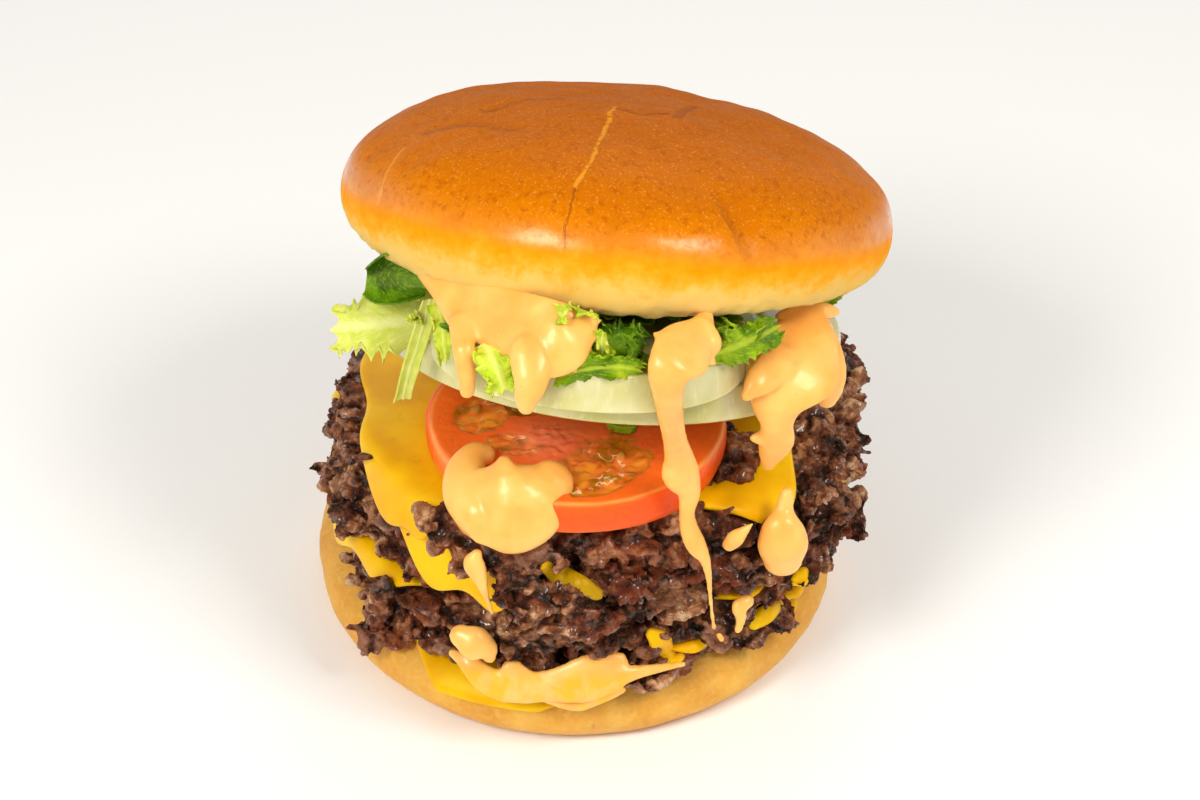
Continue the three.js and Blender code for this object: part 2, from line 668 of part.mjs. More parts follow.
function pickleShape() {
  const { radius, thickness, place } = pickleChip;
  const profile = [[radius - 0.5, 0], [radius, thickness * 0.4], [radius - 0.4, thickness]];
  return loft(discRings(profile, 20, (angle) => 0.03 * ripple(angle, 5, 1))).translate(...place);
}

// ---- Assembly ----
const burger = new THREE.Group();
burger.name = "five_patty_burger";

function named(parent, name, geometry, material) {
  const mesh = new THREE.Mesh(geometry, material);
  mesh.name = name;
  parent.add(mesh);
  return mesh;
}

function tiltedGroup(place, pitch, roll) {
  const group = new THREE.Group();
  group.position.set(...place);
  group.rotation.set(radians(pitch), radians(roll), 0, "XYZ");
  burger.add(group);
  group.updateMatrixWorld(true);
  return group;
}

const heel = heelShape();
named(burger, "heel", heel, crumb);

const chip = pickleShape();
named(burger, "pickle_chip", chip, pickle);

const cheeses = [];
slices.forEach((_, layer) => {
  cheeses.push(carve(sliceShape(layer), layer === 0 ? [chip] : cheeses));
  named(burger, `cheese_${layer}`, cheeses[layer], cheese);
});

const patties = [];
for (let layer = 1; layer <= pattyCount; layer += 1) {
  patties.push(carve(pattyShape(layer), [heel, chip, ...cheeses, ...patties]));
  named(burger, `patty_${layer}`, patties[layer - 1], meat);
}

const tomatoGroup = tiltedGroup(tomatoPlace, tomatoPitch, 0);
const tomato = tomatoShape();
named(tomatoGroup, "tomato_slice", tomato, tomatoFlesh);

const onionGroup = tiltedGroup(onionPlace, onionPitch, onionRoll);
const onionLow = onionShape(lowerOnion, 1.3);
const onionHigh = onionShape(upperOnion, 4.1);
named(onionGroup, "onion_lower", onionLow, onionFlesh);
named(onionGroup, "onion_upper", onionHigh, onionFlesh);

const crownGroup = tiltedGroup(crownPlace, crownPitch, crownRoll);
const crown = crownShape();
named(crownGroup, "crown", crown, crust);

function inPlace(geometry, group) {
  return geometry.clone().applyMatrix4(group.matrixWorld);
}

const standing = [
  heel, chip, ...cheeses, ...patties, inPlace(tomato, tomatoGroup), inPlace(onionLow, onionGroup),
  inPlace(onionHigh, onionGroup), inPlace(crown, crownGroup),
];

function touching(geometry) {
  geometry.computeBoundingBox();
  return standing.filter((other) => {
    other.computeBoundingBox();
    return other.boundingBox.clone().expandByScalar(1).intersectsBox(geometry.boundingBox);
  });
}

function settleIn(name, geometry, material) {
  const fitted = carve(geometry, touching(geometry));
  standing.push(fitted);
  named(burger, name, fitted, material);
}

for (const [name, make] of Object.entries(sauces)) settleIn(name, make(), sauce);
for (const leaf of leaves) settleIn(leaf.name, leafShape(leaf), leafTints[leaf.tint]);

// Two crumpled leaves fill the gap, reaching further out towards the back.
const bedSides = 21;
const bedRows = 2;
const backward = (angle) => 0.5 + 0.5 * Math.sin(angle);
const beds = [
  ["leaf_bed_low", leafBed(0.28, (a) => 30 + 16 * backward(a), 2.2), greenLeaf],
  ["leaf_bed_high", leafBed(0.66, (a) => 30 + 19 * backward(a), 5.1), darkLeaf],
];
for (const [name, bed, tint] of beds) settleIn(name, ringSheet(bedSides, bedRows, bed), tint);

export default burger;
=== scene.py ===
import math

import bmesh
import bpy
import numpy as np
from mathutils import Matrix, Vector, noise
from mathutils.bvhtree import BVHTree


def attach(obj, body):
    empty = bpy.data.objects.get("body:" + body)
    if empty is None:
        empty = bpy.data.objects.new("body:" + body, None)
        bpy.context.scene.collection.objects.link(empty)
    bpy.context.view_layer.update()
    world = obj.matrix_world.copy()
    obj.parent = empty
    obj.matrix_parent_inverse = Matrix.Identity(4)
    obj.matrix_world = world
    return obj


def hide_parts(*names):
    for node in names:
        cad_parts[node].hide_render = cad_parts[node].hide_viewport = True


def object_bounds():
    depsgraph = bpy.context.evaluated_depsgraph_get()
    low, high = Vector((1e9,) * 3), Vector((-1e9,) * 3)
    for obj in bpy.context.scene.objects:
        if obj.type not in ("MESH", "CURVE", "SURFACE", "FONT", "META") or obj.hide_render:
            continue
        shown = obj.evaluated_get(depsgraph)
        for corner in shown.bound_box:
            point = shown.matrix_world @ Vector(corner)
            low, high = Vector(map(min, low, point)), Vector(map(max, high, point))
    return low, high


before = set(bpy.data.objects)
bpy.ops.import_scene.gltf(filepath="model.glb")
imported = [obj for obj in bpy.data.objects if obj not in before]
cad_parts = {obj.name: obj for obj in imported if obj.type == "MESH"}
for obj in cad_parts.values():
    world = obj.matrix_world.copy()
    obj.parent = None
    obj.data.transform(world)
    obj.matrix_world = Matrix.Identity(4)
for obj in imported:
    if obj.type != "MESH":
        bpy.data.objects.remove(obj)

# A burger of five smashed beef patties with melted cheese, tomato, onion, lettuce and dripping
# sauce in a soft bun. Shapes are worked out in millimetres and made in metres; +Z is up, the
# front faces -Y, and the heel stands on the floor at z = 0.
cad_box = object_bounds()
scene = bpy.context.scene

# ---- Camera, floor and soft light ----
# The camera looks down on the front of the burger from about forty degrees, as over a table.
# The floor is a plain pale sheet under two softboxes in front and a white sweep all round.
photo_size = (1200, 800)
burger_middle = Vector((0, 0, 0.060))
burger_middle_pixel = (574.5, 355.2)
camera_distance = 0.600
camera_rise = math.radians(38.7)
focal_pixels = 2838
sensor_width = 36

lens = bpy.data.cameras.new("camera")
lens.sensor_width = sensor_width
lens.lens = focal_pixels * sensor_width / photo_size[0]
lens.shift_x = (photo_size[0] / 2 - burger_middle_pixel[0]) / photo_size[0]
lens.shift_y = -(photo_size[1] / 2 - burger_middle_pixel[1]) / photo_size[0]
lens.clip_start = 0.01
camera = bpy.data.objects.new("camera", lens)
camera_way = Vector((0, -math.cos(camera_rise), math.sin(camera_rise)))
camera.location = burger_middle + camera_distance * camera_way
camera.rotation_euler = (math.pi / 2 - camera_rise, 0, 0)
scene.collection.objects.link(camera)
scene.camera = camera


def light_panel(name, azimuth, rise, distance, size, watts, tint):
    """A square softbox that faces the burger; its azimuth is counted from the front to the right."""
    turned = math.radians(azimuth)
    level = math.cos(math.radians(rise))
    way = Vector((math.sin(turned) * level, -math.cos(turned) * level, math.sin(math.radians(rise))))
    lamp = bpy.data.lights.new(name, "AREA")
    lamp.shape = "SQUARE"
    lamp.size = size
    lamp.energy = watts
    lamp.color = tint
    panel = bpy.data.objects.new(name, lamp)
    panel.location = burger_middle + distance * way
    panel.rotation_euler = way.to_track_quat("Z", "Y").to_euler()
    scene.collection.objects.link(panel)


softbox_tint = (1.0, 0.965, 0.90)
light_panel("left_softbox", -36, 43, 0.80, 0.22, 3.5, softbox_tint)
light_panel("right_softbox", 46, 50, 0.80, 0.22, 2.8, softbox_tint)
light_panel("back_softbox", 168, 40, 1.10, 0.50, 1.6, softbox_tint)

# The sweep is white at the height of the burger and darker above it.
world = bpy.data.worlds.new("studio")
world.use_nodes = True
sky = world.node_tree
sky_way = sky.nodes.new("ShaderNodeTexCoord")
sky_axes = sky.nodes.new("ShaderNodeSeparateXYZ")
sky_ramp = sky.nodes.new("ShaderNodeValToRGB")
sky_ramp.color_ramp.elements[0].position = 0.08
sky_ramp.color_ramp.elements[0].color = (1, 1, 1, 1)
sky_ramp.color_ramp.elements[1].position = 0.55
sky_ramp.color_ramp.elements[1].color = (0.34, 0.335, 0.32, 1)
sky.links.new(sky_way.outputs["Generated"], sky_axes.inputs[0])
sky.links.new(sky_axes.outputs["Z"], sky_ramp.inputs[0])
sky.links.new(sky_ramp.outputs["Color"], sky.nodes["Background"].inputs["Color"])
sky.nodes["Background"].inputs["Strength"].default_value = 1.1
scene.world = world
scene.view_settings.view_transform = "Standard"

floor_half = 3.0
floor_mesh = bpy.data.meshes.new("floor")
floor_mesh.from_pydata(
    [(-floor_half, -floor_half, 0), (floor_half, -floor_half, 0), (floor_half, floor_half, 0),
     (-floor_half, floor_half, 0)], [], [(0, 1, 2, 3)])
floor = bpy.data.objects.new("floor", floor_mesh)
scene.collection.objects.link(floor)
floor_paint = bpy.data.materials.new("pale_floor")
floor_paint.use_nodes = True
floor_coat = floor_paint.node_tree.nodes["Principled BSDF"]
floor_coat.inputs["Base Color"].default_value = (0.96, 0.96, 0.96, 1)
floor_coat.inputs["Roughness"].default_value = 0.8
floor_mesh.materials.append(floor_paint)

# ---- Bun heel ----
# The lower half of a soft white-flour bun: a smooth, pale golden skin, dull to satin, paler on
# its top and darker towards the bottom. It is turned as one skin about its own axis.
bun_radius = 57
heel_height = 15.5
heel_waist = 8
heel_foot = 49
heel_flat = 46
heel_shoulder = 2 / 2.4
top_sink = 0.25
firm_share = 0.6
turn = 2 * math.pi


def rgb(red, green, blue):
    """A colour named as it looks on a screen, 0 to 255, as the light it gives back."""
    parts = [value / 255 for value in (red, green, blue)]
    return (*[p / 12.92 if p < 0.04045 else ((p + 0.055) / 1.055) ** 2.4 for p in parts], 1)


def add_node(tree, kind, settings, sockets):
    """Adds one node: its settings first, then the values or links of its sockets."""
    node = tree.nodes.new(kind)
    for name, value in settings.items():
        if name == "stops":
            ramp = node.color_ramp
            while len(ramp.elements) < len(value):
                ramp.elements.new(0.5)
            for stop, (place, colour) in zip(ramp.elements, value):
                stop.position = place
                stop.color = colour
        else:
            setattr(node, name, value)
    for key, value in sockets.items():
        if isinstance(value, Value):
            tree.links.new(value.socket, node.inputs[key])
        elif value is not None:
            node.inputs[key].default_value = value
    return Value(tree, next(out for out in node.outputs if out.enabled) if node.outputs else None, node)


def vector_maths(tree, operation, *values, **named):
    sockets = {**dict(enumerate(values)), **named}
    return add_node(tree, "ShaderNodeVectorMath", {"operation": operation}, sockets)


class Value:
    """What one node gives out, so that shader maths is written as plain sums."""

    def __init__(self, tree, socket, node=None):
        self.tree = tree
        self.socket = socket
        self.node = node or socket.node

    def out(self, name):
        return Value(self.tree, self.node.outputs[name])

    def maths(self, operation, first, second=None):
        return add_node(self.tree, "ShaderNodeMath", {"operation": operation}, {0: first, 1: second})

    def __add__(self, other):
        return self.maths("ADD", self, other)

    def __radd__(self, other):
        return self.maths("ADD", other, self)

    def __sub__(self, other):
        return self.maths("SUBTRACT", self, other)

    def __rsub__(self, other):
        return self.maths("SUBTRACT", other, self)

    def __mul__(self, other):
        return self.maths("MULTIPLY", self, other)

    def __rmul__(self, other):
        return self.maths("MULTIPLY", other, self)

    def __truediv__(self, other):
        return self.maths("DIVIDE", self, other)

    def __pow__(self, other):
        return self.maths("POWER", self, other)

    def clamped(self):
        return add_node(self.tree, "ShaderNodeClamp", {}, {0: self})

    def eased(self, low, high):
        """0 below low, 1 above high, and smooth between."""
        return add_node(self.tree, "ShaderNodeMapRange", {"interpolation_type": "SMOOTHSTEP"},
                        {"Value": self, "From Min": low, "From Max": high})


class Finish:
    """A material of one glossy or dull coat, built from noise, masks and blends in millimetres."""

    def __init__(self, name):
        self.material = bpy.data.materials.new(name)
        self.material.use_nodes = True
        self.tree = self.material.node_tree
        self.coat = self.tree.nodes["Principled BSDF"]
        self.here = self.node("ShaderNodeTexCoord").out("Object")

    def node(self, kind, settings={}, sockets={}):
        return add_node(self.tree, kind, settings, sockets)

    def mark(self, name):
        return self.node("ShaderNodeAttribute", {"attribute_name": name}).out("Fac")

    def stretched(self, across, along, tilt=(0, 0, 0)):
        """Object coordinates squeezed so that a pattern runs further along one way."""
        turned = [math.radians(a) for a in tilt]
        squeeze = (1 / across, 1 / across, 1 / along)
        return self.node("ShaderNodeMapping", {},
                         {"Vector": self.here, "Rotation": turned, "Scale": squeeze})

    def height_up(self):
        """The height of each place in millimetres."""
        return self.node("ShaderNodeSeparateXYZ", {}, {0: self.here}).out("Z") * 1000

    def noise(self, size, detail=3, rough=0.55, warp=0, where=None):
        return self.node("ShaderNodeTexNoise", {}, {
            "Vector": where or self.here, "Scale": 1000 / size, "Detail": detail, "Roughness": rough,
            "Distortion": warp})

    def cells(self, size, feature="F1", where=None):
        sockets = {"Vector": where or self.here, "Scale": 1000 / size}
        return self.node("ShaderNodeTexVoronoi", {"feature": feature}, sockets)

    def blend(self, share, first, second, way="MIX"):
        mix = self.node("ShaderNodeMix", {"data_type": "RGBA", "blend_type": way, "clamp_factor": True}, {
            0: share, 6: first, 7: second})
        return Value(self.tree, mix.node.outputs[2])

    def ramp(self, value, *stops):
        """Colours that change with a value; each stop is its place, red, green and blue."""
        colours = [(place, rgb(*colour)) for place, *colour in stops]
        return self.node("ShaderNodeValToRGB", {"stops": colours}, {0: value}).out("Color")

    def relief(self, height, depth):
        """Fine relief of a depth in millimetres, from a height between 0 and 1."""
        return self.node("ShaderNodeBump", {}, {"Height": height, "Distance": depth / 1000, "Strength": 1.0})

    def set(self, **sockets):
        for name, value in sockets.items():
            socket = self.coat.inputs[name.replace("_", " ").title().replace("Ior", "IOR")]
            if isinstance(value, Value):
                self.tree.links.new(value.socket, socket)
            else:
                socket.default_value = value

    def dull(self, share, colour, normal):
        """Gives a varying share of the surface no shine at all."""
        matt = self.node("ShaderNodeBsdfDiffuse", {}, {"Color": colour, "Normal": normal})
        shiny = Value(self.tree, self.coat.outputs[0])
        mixed = self.node("ShaderNodeMixShader", {}, {0: share, 1: shiny, 2: matt})
        self.tree.links.new(mixed.socket, self.tree.nodes["Material Output"].inputs["Surface"])

    def flesh(self, share, reach, colours):
        """Light that enters and comes out again within reach millimetres, more of the first colour."""
        self.coat.inputs["Subsurface Weight"].default_value = share
        self.coat.inputs["Subsurface Radius"].default_value = colours
        self.coat.inputs["Subsurface Scale"].default_value = reach / 1000


def ripple(angle, lobes, seed):
    """Three waves of neighbouring counts round a circle, about 1 high."""
    return sum(np.sin((lobes + n) * angle + seed * (2.4 + 1.7 * n)) for n in range(3)) / 2


def ease(value, low, high):
    share = np.clip((value - low) / (high - low), 0, 1)
    return share * share * (3 - 2 * share)


def lumps(points, size, seed=0.0):
    """Smooth random lumps between -1 and 1 about size millimetres across, one for each point."""
    shift = Vector((seed * 3.7, seed * 1.9, -seed * 2.3))
    return np.array([noise.noise(Vector(p) / size + shift) for p in points]) * 1.6


def make_piece(name, points, faces, finish, **marks):
    """A smooth-shaded mesh in metres from points in millimetres, with a value a point for each mark."""
    mesh = bpy.data.meshes.new(name)
    mesh.from_pydata((np.asarray(points) / 1000).tolist(), [], faces)
    for mark, values in marks.items():
        mesh.attributes.new(mark, "FLOAT", "POINT").data.foreach_set("value", np.asarray(values, np.float32))
    mesh.polygons.foreach_set("use_smooth", [True] * len(mesh.polygons))
    mesh.materials.append(finish.material)
    piece = bpy.data.objects.new(name, mesh)
    scene.collection.objects.link(piece)
    return piece


def turned_skin(profile, sides):
    """Angle, reach and height of rings of points round an axis, closed by a point at each end."""
    angles = np.tile(np.arange(sides) * turn / sides, len(profile))
    reach = np.repeat([r for r, _ in profile], sides)
    height = np.repeat([z for _, z in profile], sides)
    ends = [profile[0][1], profile[-1][1]]
    faces = []
    for row in range(len(profile) - 1):
        for n in range(sides):
            a = row * sides + n
            b = row * sides + (n + 1) % sides
            faces.append((a, b, b + sides, a + sides))
    first = len(profile) * sides
    last = first - sides
    for n in range(sides):
        faces.append((first, (n + 1) % sides, n))
        faces.append((first + 1, last + n, last + (n + 1) % sides))
    return (np.append(angles, [0, 0]), np.append(reach, [0, 0]), np.append(height, ends), faces)


def stood(angle, reach, height):
    """Points of a turned skin."""
    return np.column_stack([reach * np.cos(angle), reach * np.sin(angle), height])


def serve(piece, slot, *nodes):
    """Squeezes the outer part of a piece into the CAD box; it rides on the burger and replaces nodes."""
    places = np.empty(3 * len(piece.data.vertices))
    piece.data.vertices.foreach_get("co", places)
    places = places.reshape(-1, 3)
    low, high = (np.array(corner) for corner in cad_box)
    for axis in range(3):
        for limit, way in ((high[axis], 1), (-low[axis], -1)):
            along = places[:, axis] * way
            if along.max() > limit:
                start = firm_share * limit
                share = (limit - start) / (along.max() - start)
                places[:, axis] = way * np.where(along > start, start + (along - start) * share, along)
    piece.data.vertices.foreach_set("co", places.ravel())
    piece.data.update()
    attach(piece, "root")
    if nodes:
        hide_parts(*nodes)


heel_profile = [(r, 0) for r in np.linspace(6, heel_foot - 2, 8)]
for a in np.linspace(0, math.pi / 2, 18):
    heel_profile.append((heel_foot + (bun_radius - heel_foot) * math.sin(a), heel_waist * (1 - math.cos(a))))
for a in np.linspace(0, math.pi / 2, 22)[1:]:
    over = math.cos(a) ** heel_shoulder
    rise = math.sin(a) ** heel_shoulder
    lift = heel_waist + (heel_height - heel_waist) * rise
    heel_profile.append((heel_flat + (bun_radius - heel_flat) * over, lift))
heel_profile += [(r, heel_height) for r in np.linspace(heel_flat - 2, 4, 12)]
angle, reach, height, heel_faces = turned_skin(heel_profile, 256)
reach = reach * (1 + 0.004 * ripple(angle, 2, 1.7))
heel_points = stood(angle, reach, height)
# Shallow dimples all round: the top sinks a little, and the underside stays flat on the floor.
dimples = 0.35 * lumps(heel_points, 9, 2) + 0.12 * lumps(heel_points, 3.5, 4)
heel_points[:, :2] *= (1 + dimples * ease(height, 0.2, 4) / bun_radius * (reach > heel_flat))[:, None]
heel_points[:, 2] = np.where(height > 0.01, np.maximum(0.02, height + 0.2 * dimples - top_sink), 0)

heel_skin = Finish("heel_skin")
patches = heel_skin.noise(14, 3)
grain = heel_skin.noise(1.1, 3)
rise = heel_skin.height_up()
base = heel_skin.ramp(patches.eased(0.3, 0.72), (0.0, 210, 144, 46), (0.5, 224, 164, 62),
                      (1.0, 232, 184, 84))
broad = heel_skin.noise(26, 2).eased(0.42, 0.62)
base = heel_skin.blend(broad * 0.5, base, rgb(206, 140, 46))
base = heel_skin.blend(heel_skin.noise(5, 3, warp=0.5).eased(0.55, 0.7) * 0.3, base, rgb(236, 196, 104))
base = heel_skin.blend(rise.eased(11.5, 15.6) * 0.55, base, rgb(234, 184, 88))
base = heel_skin.blend((1 - rise.eased(0.5, 4.5)) * 0.45, base, rgb(204, 134, 42))
base = heel_skin.blend(grain.eased(0.45, 0.75) * 0.25, base, rgb(240, 200, 110))
specks = heel_skin.noise(2.6, 2).eased(0.70, 0.76)
base = heel_skin.blend(specks * 0.35, base, rgb(170, 104, 48))
heel_skin.set(base_color=base, roughness=0.5 + 0.12 * grain, specular_tint=(1, 0.8, 0.5, 1),
              normal=heel_skin.relief(grain + 0.6 * heel_skin.noise(4, 2), 0.2))
heel_skin.flesh(0.25, 2.5, (1.0, 0.6, 0.3))
heel = make_piece("heel_bun", heel_points, heel_faces, heel_skin)
serve(heel, "heel_crumb", "heel")

# ---- Melted cheese slices ----
# Square slices of soft processed cheese, one on the heel and one on each patty. They lie flat,
# bend over the rim of the meat and run out in a few rounded flaps where they have melted most.
first_patty = heel_height + 1.5 + 0.8
patty_thickness = 6
patty_count = 5
cheese_thickness = 1.5
gap = 0.4
layer_pitch = patty_thickness + cheese_thickness + 2 * gap
pile_top = first_patty + (patty_count - 1) * layer_pitch + patty_thickness
pile_slope = 0.0875
sag_start = 49
patty_radii = [55.5, 56.5, 56, 55.5, 54.5]
patty_centres = [(4.5, -2), (3.5, -1.5), (3, -2), (4.5, -3), (5, -4)]
patty_bend = 2.6
heel_bend = 9
heel_overhang = 3.4
heel_run_limit = 60.5
no_limit = 1000
cheese_lean = math.radians(74)
# Each slice: its middle, how far it is turned, its side, and its runs (degrees, millimetres, degrees wide).
slices = [
    ((-2, -10), 22, 80, [(-98, 5, 18)]),
    ((3, -4), -20, 80, [(-47, 7, 8)]),
    ((-1, -2), -4, 87, [(-160, 8, 7), (-38, 2, 6)]),
    ((2, -2), 30, 86, [(60, 3, 10)]),
    ((0, -5), 14, 84, [(-109, 13, 7), (-128, 7, 11), (-77, 9, 4)]),
    ((0, -6), 0, 88, [(-128, 5, 3.4), (-132, 0.6, 8), (-46, 1, 8), (136, -7, 14)]),
]


def hump(angle, degrees, wide):
    """1 at an angle in degrees, and less to both sides of it."""
    off = np.angle(np.exp(1j * (angle - math.radians(degrees))))
    return np.exp(-((off / math.radians(wide)) ** 2))


def settle(x, y, z):
    """The pile slopes towards the back, and its rim sags more near the top."""
    share = np.clip((z - heel_height) / (pile_top - heel_height), 0, 1.1)
    reach = np.hypot(x, y)
    sag = (0.7 + 1.6 * share) * (np.maximum(0, reach - sag_start) / 10) ** 2
    sway = 0.5 * ripple(np.arctan2(y, x), 2, 5.3) * (reach / bun_radius) ** 2
    return np.column_stack([x, y, z + share * (-pile_slope * y - sag + sway)])


def patty_reach(layer, angle):
    """The uneven radius of a patty."""
    return patty_radii[layer - 1] + 1.2 * ripple(angle, 2, layer * 1.9)


def slice_reach(layer, origin, angle):
    """How far the slice runs from a patty's middle in one direction, laid flat."""
    centre, turned, side, runs = slices[layer]
    way = angle - math.radians(turned)
    off = Vector((origin[0] - centre[0], origin[1] - centre[1]))
    start = Matrix.Rotation(-math.radians(turned), 2) @ off
    across = (side / 2 - np.sign(np.cos(way)) * start.x) / np.maximum(np.abs(np.cos(way)), 1e-6)
    along = (side / 2 - np.sign(np.sin(way)) * start.y) / np.maximum(np.abs(np.sin(way)), 1e-6)
    straight = (across ** -12.0 + along ** -12.0) ** (-1 / 12)
    melted = sum(more * hump(angle, at, wide) for at, more, wide in runs)
    return straight + melted + 0.8 * ripple(angle, 9, turned + 2)


def over_edge(run, edge, bend):
    """Reach and drop of a point that lies run along a sheet bent over an edge."""
    arc = np.maximum(0, run - edge + bend)
    bent = np.minimum(arc / bend, cheese_lean)
    fall = np.maximum(0, arc - bend * cheese_lean)
    reach = np.minimum(run, edge - bend) + bend * np.sin(bent) + fall * math.cos(cheese_lean)
    return reach, bend * (1 - np.cos(bent)) + fall * math.sin(cheese_lean)


def make_sheet(name, place, thickness, columns, rows, finish):
    """A thin solid round a middle surface place(u, v), with a soft rim; u and v are kept as marks."""
    grid = np.meshgrid(np.linspace(0, 1, columns + 1), np.linspace(0, 1, rows + 1))
    u, v = (axis.ravel() for axis in grid)
    middle = place(u, v)
    step = 0.25 / max(columns, rows)
    normal = np.cross(place(u + step, v) - place(u - step, v), place(u, v + step) - place(u, v - step))
    normal /= np.maximum(np.linalg.norm(normal, axis=1), 1e-9)[:, None]
    half = (thickness(u, v) / 2)[:, None]
    count = len(u)
    wide = columns + 1
    faces = []
    for j in range(rows):
        for i in range(columns):
            a = j * wide + i
            faces.append((a, a + 1, a + wide + 1, a + wide))
            faces.append((count + a, count + a + wide, count + a + wide + 1, count + a + 1))
    rim = [i for i in range(columns)] + [j * wide + columns for j in range(rows)]
    rim += [rows * wide + i for i in range(columns, 0, -1)] + [j * wide for j in range(rows, 0, -1)]
    for a, b in zip(rim, rim[1:] + rim[:1]):
        faces.append((a, count + a, count + b, b))
    points = np.concatenate([middle + normal * half, middle - normal * half])
    return make_piece(name, points, faces, finish, along=np.tile(u, 2), across=np.tile(v, 2))


# One end of cheese in front is darker round this place in metres: painted shade where it lies under the patty
# above, and fat soaked into it.
greasy_place = (-0.0005, -0.0625, 0.0505)
cheese_skin = Finish("cheese_skin")
cloud = cheese_skin.noise(11, 2)
smear = cheese_skin.noise(5, 3, warp=0.6)
base = cheese_skin.ramp(cloud.eased(0.3, 0.7), (0.0, 228, 166, 0), (0.55, 238, 182, 0), (1.0, 244, 194, 6))
base = cheese_skin.blend(smear.eased(0.60, 0.78) * 0.3, base, rgb(196, 146, 10))
greasy = vector_maths(cheese_skin.tree, "DISTANCE", cheese_skin.here, greasy_place).out("Value") * 1000
# Painted shade under the patty above, with fat, darkens the cheese near this place.
base = cheese_skin.blend((1 - greasy.eased(7, 10)) * 0.75, base, rgb(140, 108, 6))
cheese_relief = cheese_skin.relief(cheese_skin.noise(3.5, 3) + 0.3 * cheese_skin.noise(0.9, 2), 0.12)
cheese_skin.set(base_color=base, specular_ior_level=0.4, specular_tint=(1, 0.85, 0.25, 1),
                roughness=0.30 + 0.16 * cheese_skin.noise(2.4, 3), normal=cheese_relief)
cheese_skin.flesh(0.3, 2.2, (1.0, 0.55, 0.08))


def crowded(share):
    """Rows across a slice, from -1 to 1, that lie closer together near its edges."""
    return 0.35 * share + 0.65 * np.sin(math.pi / 2 * np.clip(share, -1.01, 1.01))


cheese_pieces = []
for layer in range(len(slices)):
    centre, turned, side, runs = slices[layer]
    origin = (0, 0) if layer == 0 else patty_centres[layer - 1]
    bearing = heel_height if layer == 0 else first_patty + (layer - 1) * layer_pitch + patty_thickness

    def place(u, v):
        a, b = crowded(2 * u - 1), crowded(2 * v - 1)
        tilt = math.radians(turned)
        flat_x = a * math.cos(tilt) - b * math.sin(tilt)
        flat_y = a * math.sin(tilt) + b * math.cos(tilt)
        angle = np.arctan2(flat_y, flat_x)
        share = np.maximum(np.abs(a), np.abs(b))
        limit = heel_run_limit if layer == 0 else no_limit
        run = share * np.minimum(slice_reach(layer, origin, angle), limit)
        edge = bun_radius + heel_overhang if layer == 0 else patty_reach(layer, angle) + 0.3
        reach, drop = over_edge(run, edge, heel_bend if layer == 0 else patty_bend)
        sway = 0.35 * ripple(angle, 6, layer + 1.0) * ease(run, edge - 6, edge + 4)
        middle = bearing + gap + cheese_thickness / 2 - drop
        out = reach + sway
        return settle(origin[0] + out * np.cos(angle), origin[1] + out * np.sin(angle), middle)

    def thin(u, v):
        rim = np.minimum(np.minimum(u, 1 - u), np.minimum(v, 1 - v))
        return cheese_thickness * (0.45 + 0.55 * np.sqrt(ease(rim, -0.002, 0.03)))

    piece = make_sheet(f"cheese_slice_{layer}", place, thin, 90, 90, cheese_skin)
    cheese_pieces.append(piece)
    serve(piece, "cheese", f"cheese_{layer}")

# ---- Smashed beef patties ----
# Thin hand-smashed patties of coarse mince, seared dark and greasy. Each solid's bare rim is pushed
# about in clumps, flat shards and grains are melted into it, and it is then cracked into strands.
# Lumps lie between two sizes, each along three axes, in millimetres; densities are for each square metre.
shard_size = ((2.0, 1.4, 0.5), (6.4, 4.0, 1.5))
grain_size = ((0.9, 0.9, 0.9), (1.9, 1.52, 1.33))
crumb_size = ((1.2, 1.0, 0.7), (3.4, 2.6, 1.7))
shard_density = 42000.0
grain_density = 80000.0
crumb_density = 420000.0
flat_turns = ((-0.5, -0.5, 0), (0.5, 0.5, turn))
any_turns = ((0, 0, 0), (turn, turn, turn))
clump_push = 0.0058
crag_depth = 1.3
clear_of_cheese = (0.5, 2.6)
bare_from = (43, 49)
shell_voxel = 0.0010
meat_voxel = 0.00052
crumb_voxel = 0.00045
kept_faces = 0.6
# Torn bits that hang over the cheese in front: place in the picture, how far forward, width, depth, height.
torn_bits = {
    5: [(454, 532, -56.6, 9, 5, 6), (474, 548, -58.6, 10, 5, 8), (497, 556, -59.6, 10, 5, 9),
        (518, 572, -60.2, 9, 5, 9), (540, 560, -60, 10, 5, 9), (522, 598, -61, 8, 5, 7),
        (545, 604, -61.4, 10, 6, 8),
        (568, 604, -61.4, 9, 6, 9), (590, 616, -61.2, 7, 5, 6), (535, 614, -61.6, 6, 5, 5),
        (578, 622, -61.6, 6, 4, 5)],
    1: [(384, 588, -41, 7, 5, 6), (378, 606, -40, 5, 4, 8), (376, 626, -39.4, 3, 3, 9)],
}
to_camera = np.array(camera.location) * 1000 - np.array(burger_middle) * 1000
to_camera /= np.linalg.norm(to_camera)


def seen(across, down, y):
    """The place in millimetres that the camera sees at a point of the picture, in the plane of y."""
    eye = np.array(camera.location) * 1000
    up = np.array([0, math.sin(camera_rise), math.cos(camera_rise)])
    ray = -to_camera * focal_pixels + np.array([1, 0, 0]) * (across - burger_middle_pixel[0])
    ray -= up * (down - burger_middle_pixel[1])
    return eye + ray * (y - eye[1]) / ray[1]


def add_bits(thing, bits):
    """Adds rounded bits to a mesh at places named in the picture."""
    shape = bmesh.new()
    shape.from_mesh(thing.data)
    for across, down, y, width, depth, height in bits:
        middle = Matrix.Translation(Vector(seen(across, down, y)) / 1000)
        size = Matrix.Diagonal((width / 2000, depth / 2000, height / 2000, 1))
        bmesh.ops.create_icosphere(shape, subdivisions=3, radius=1, matrix=middle @ size)
    shape.to_mesh(thing.data)
    shape.free()


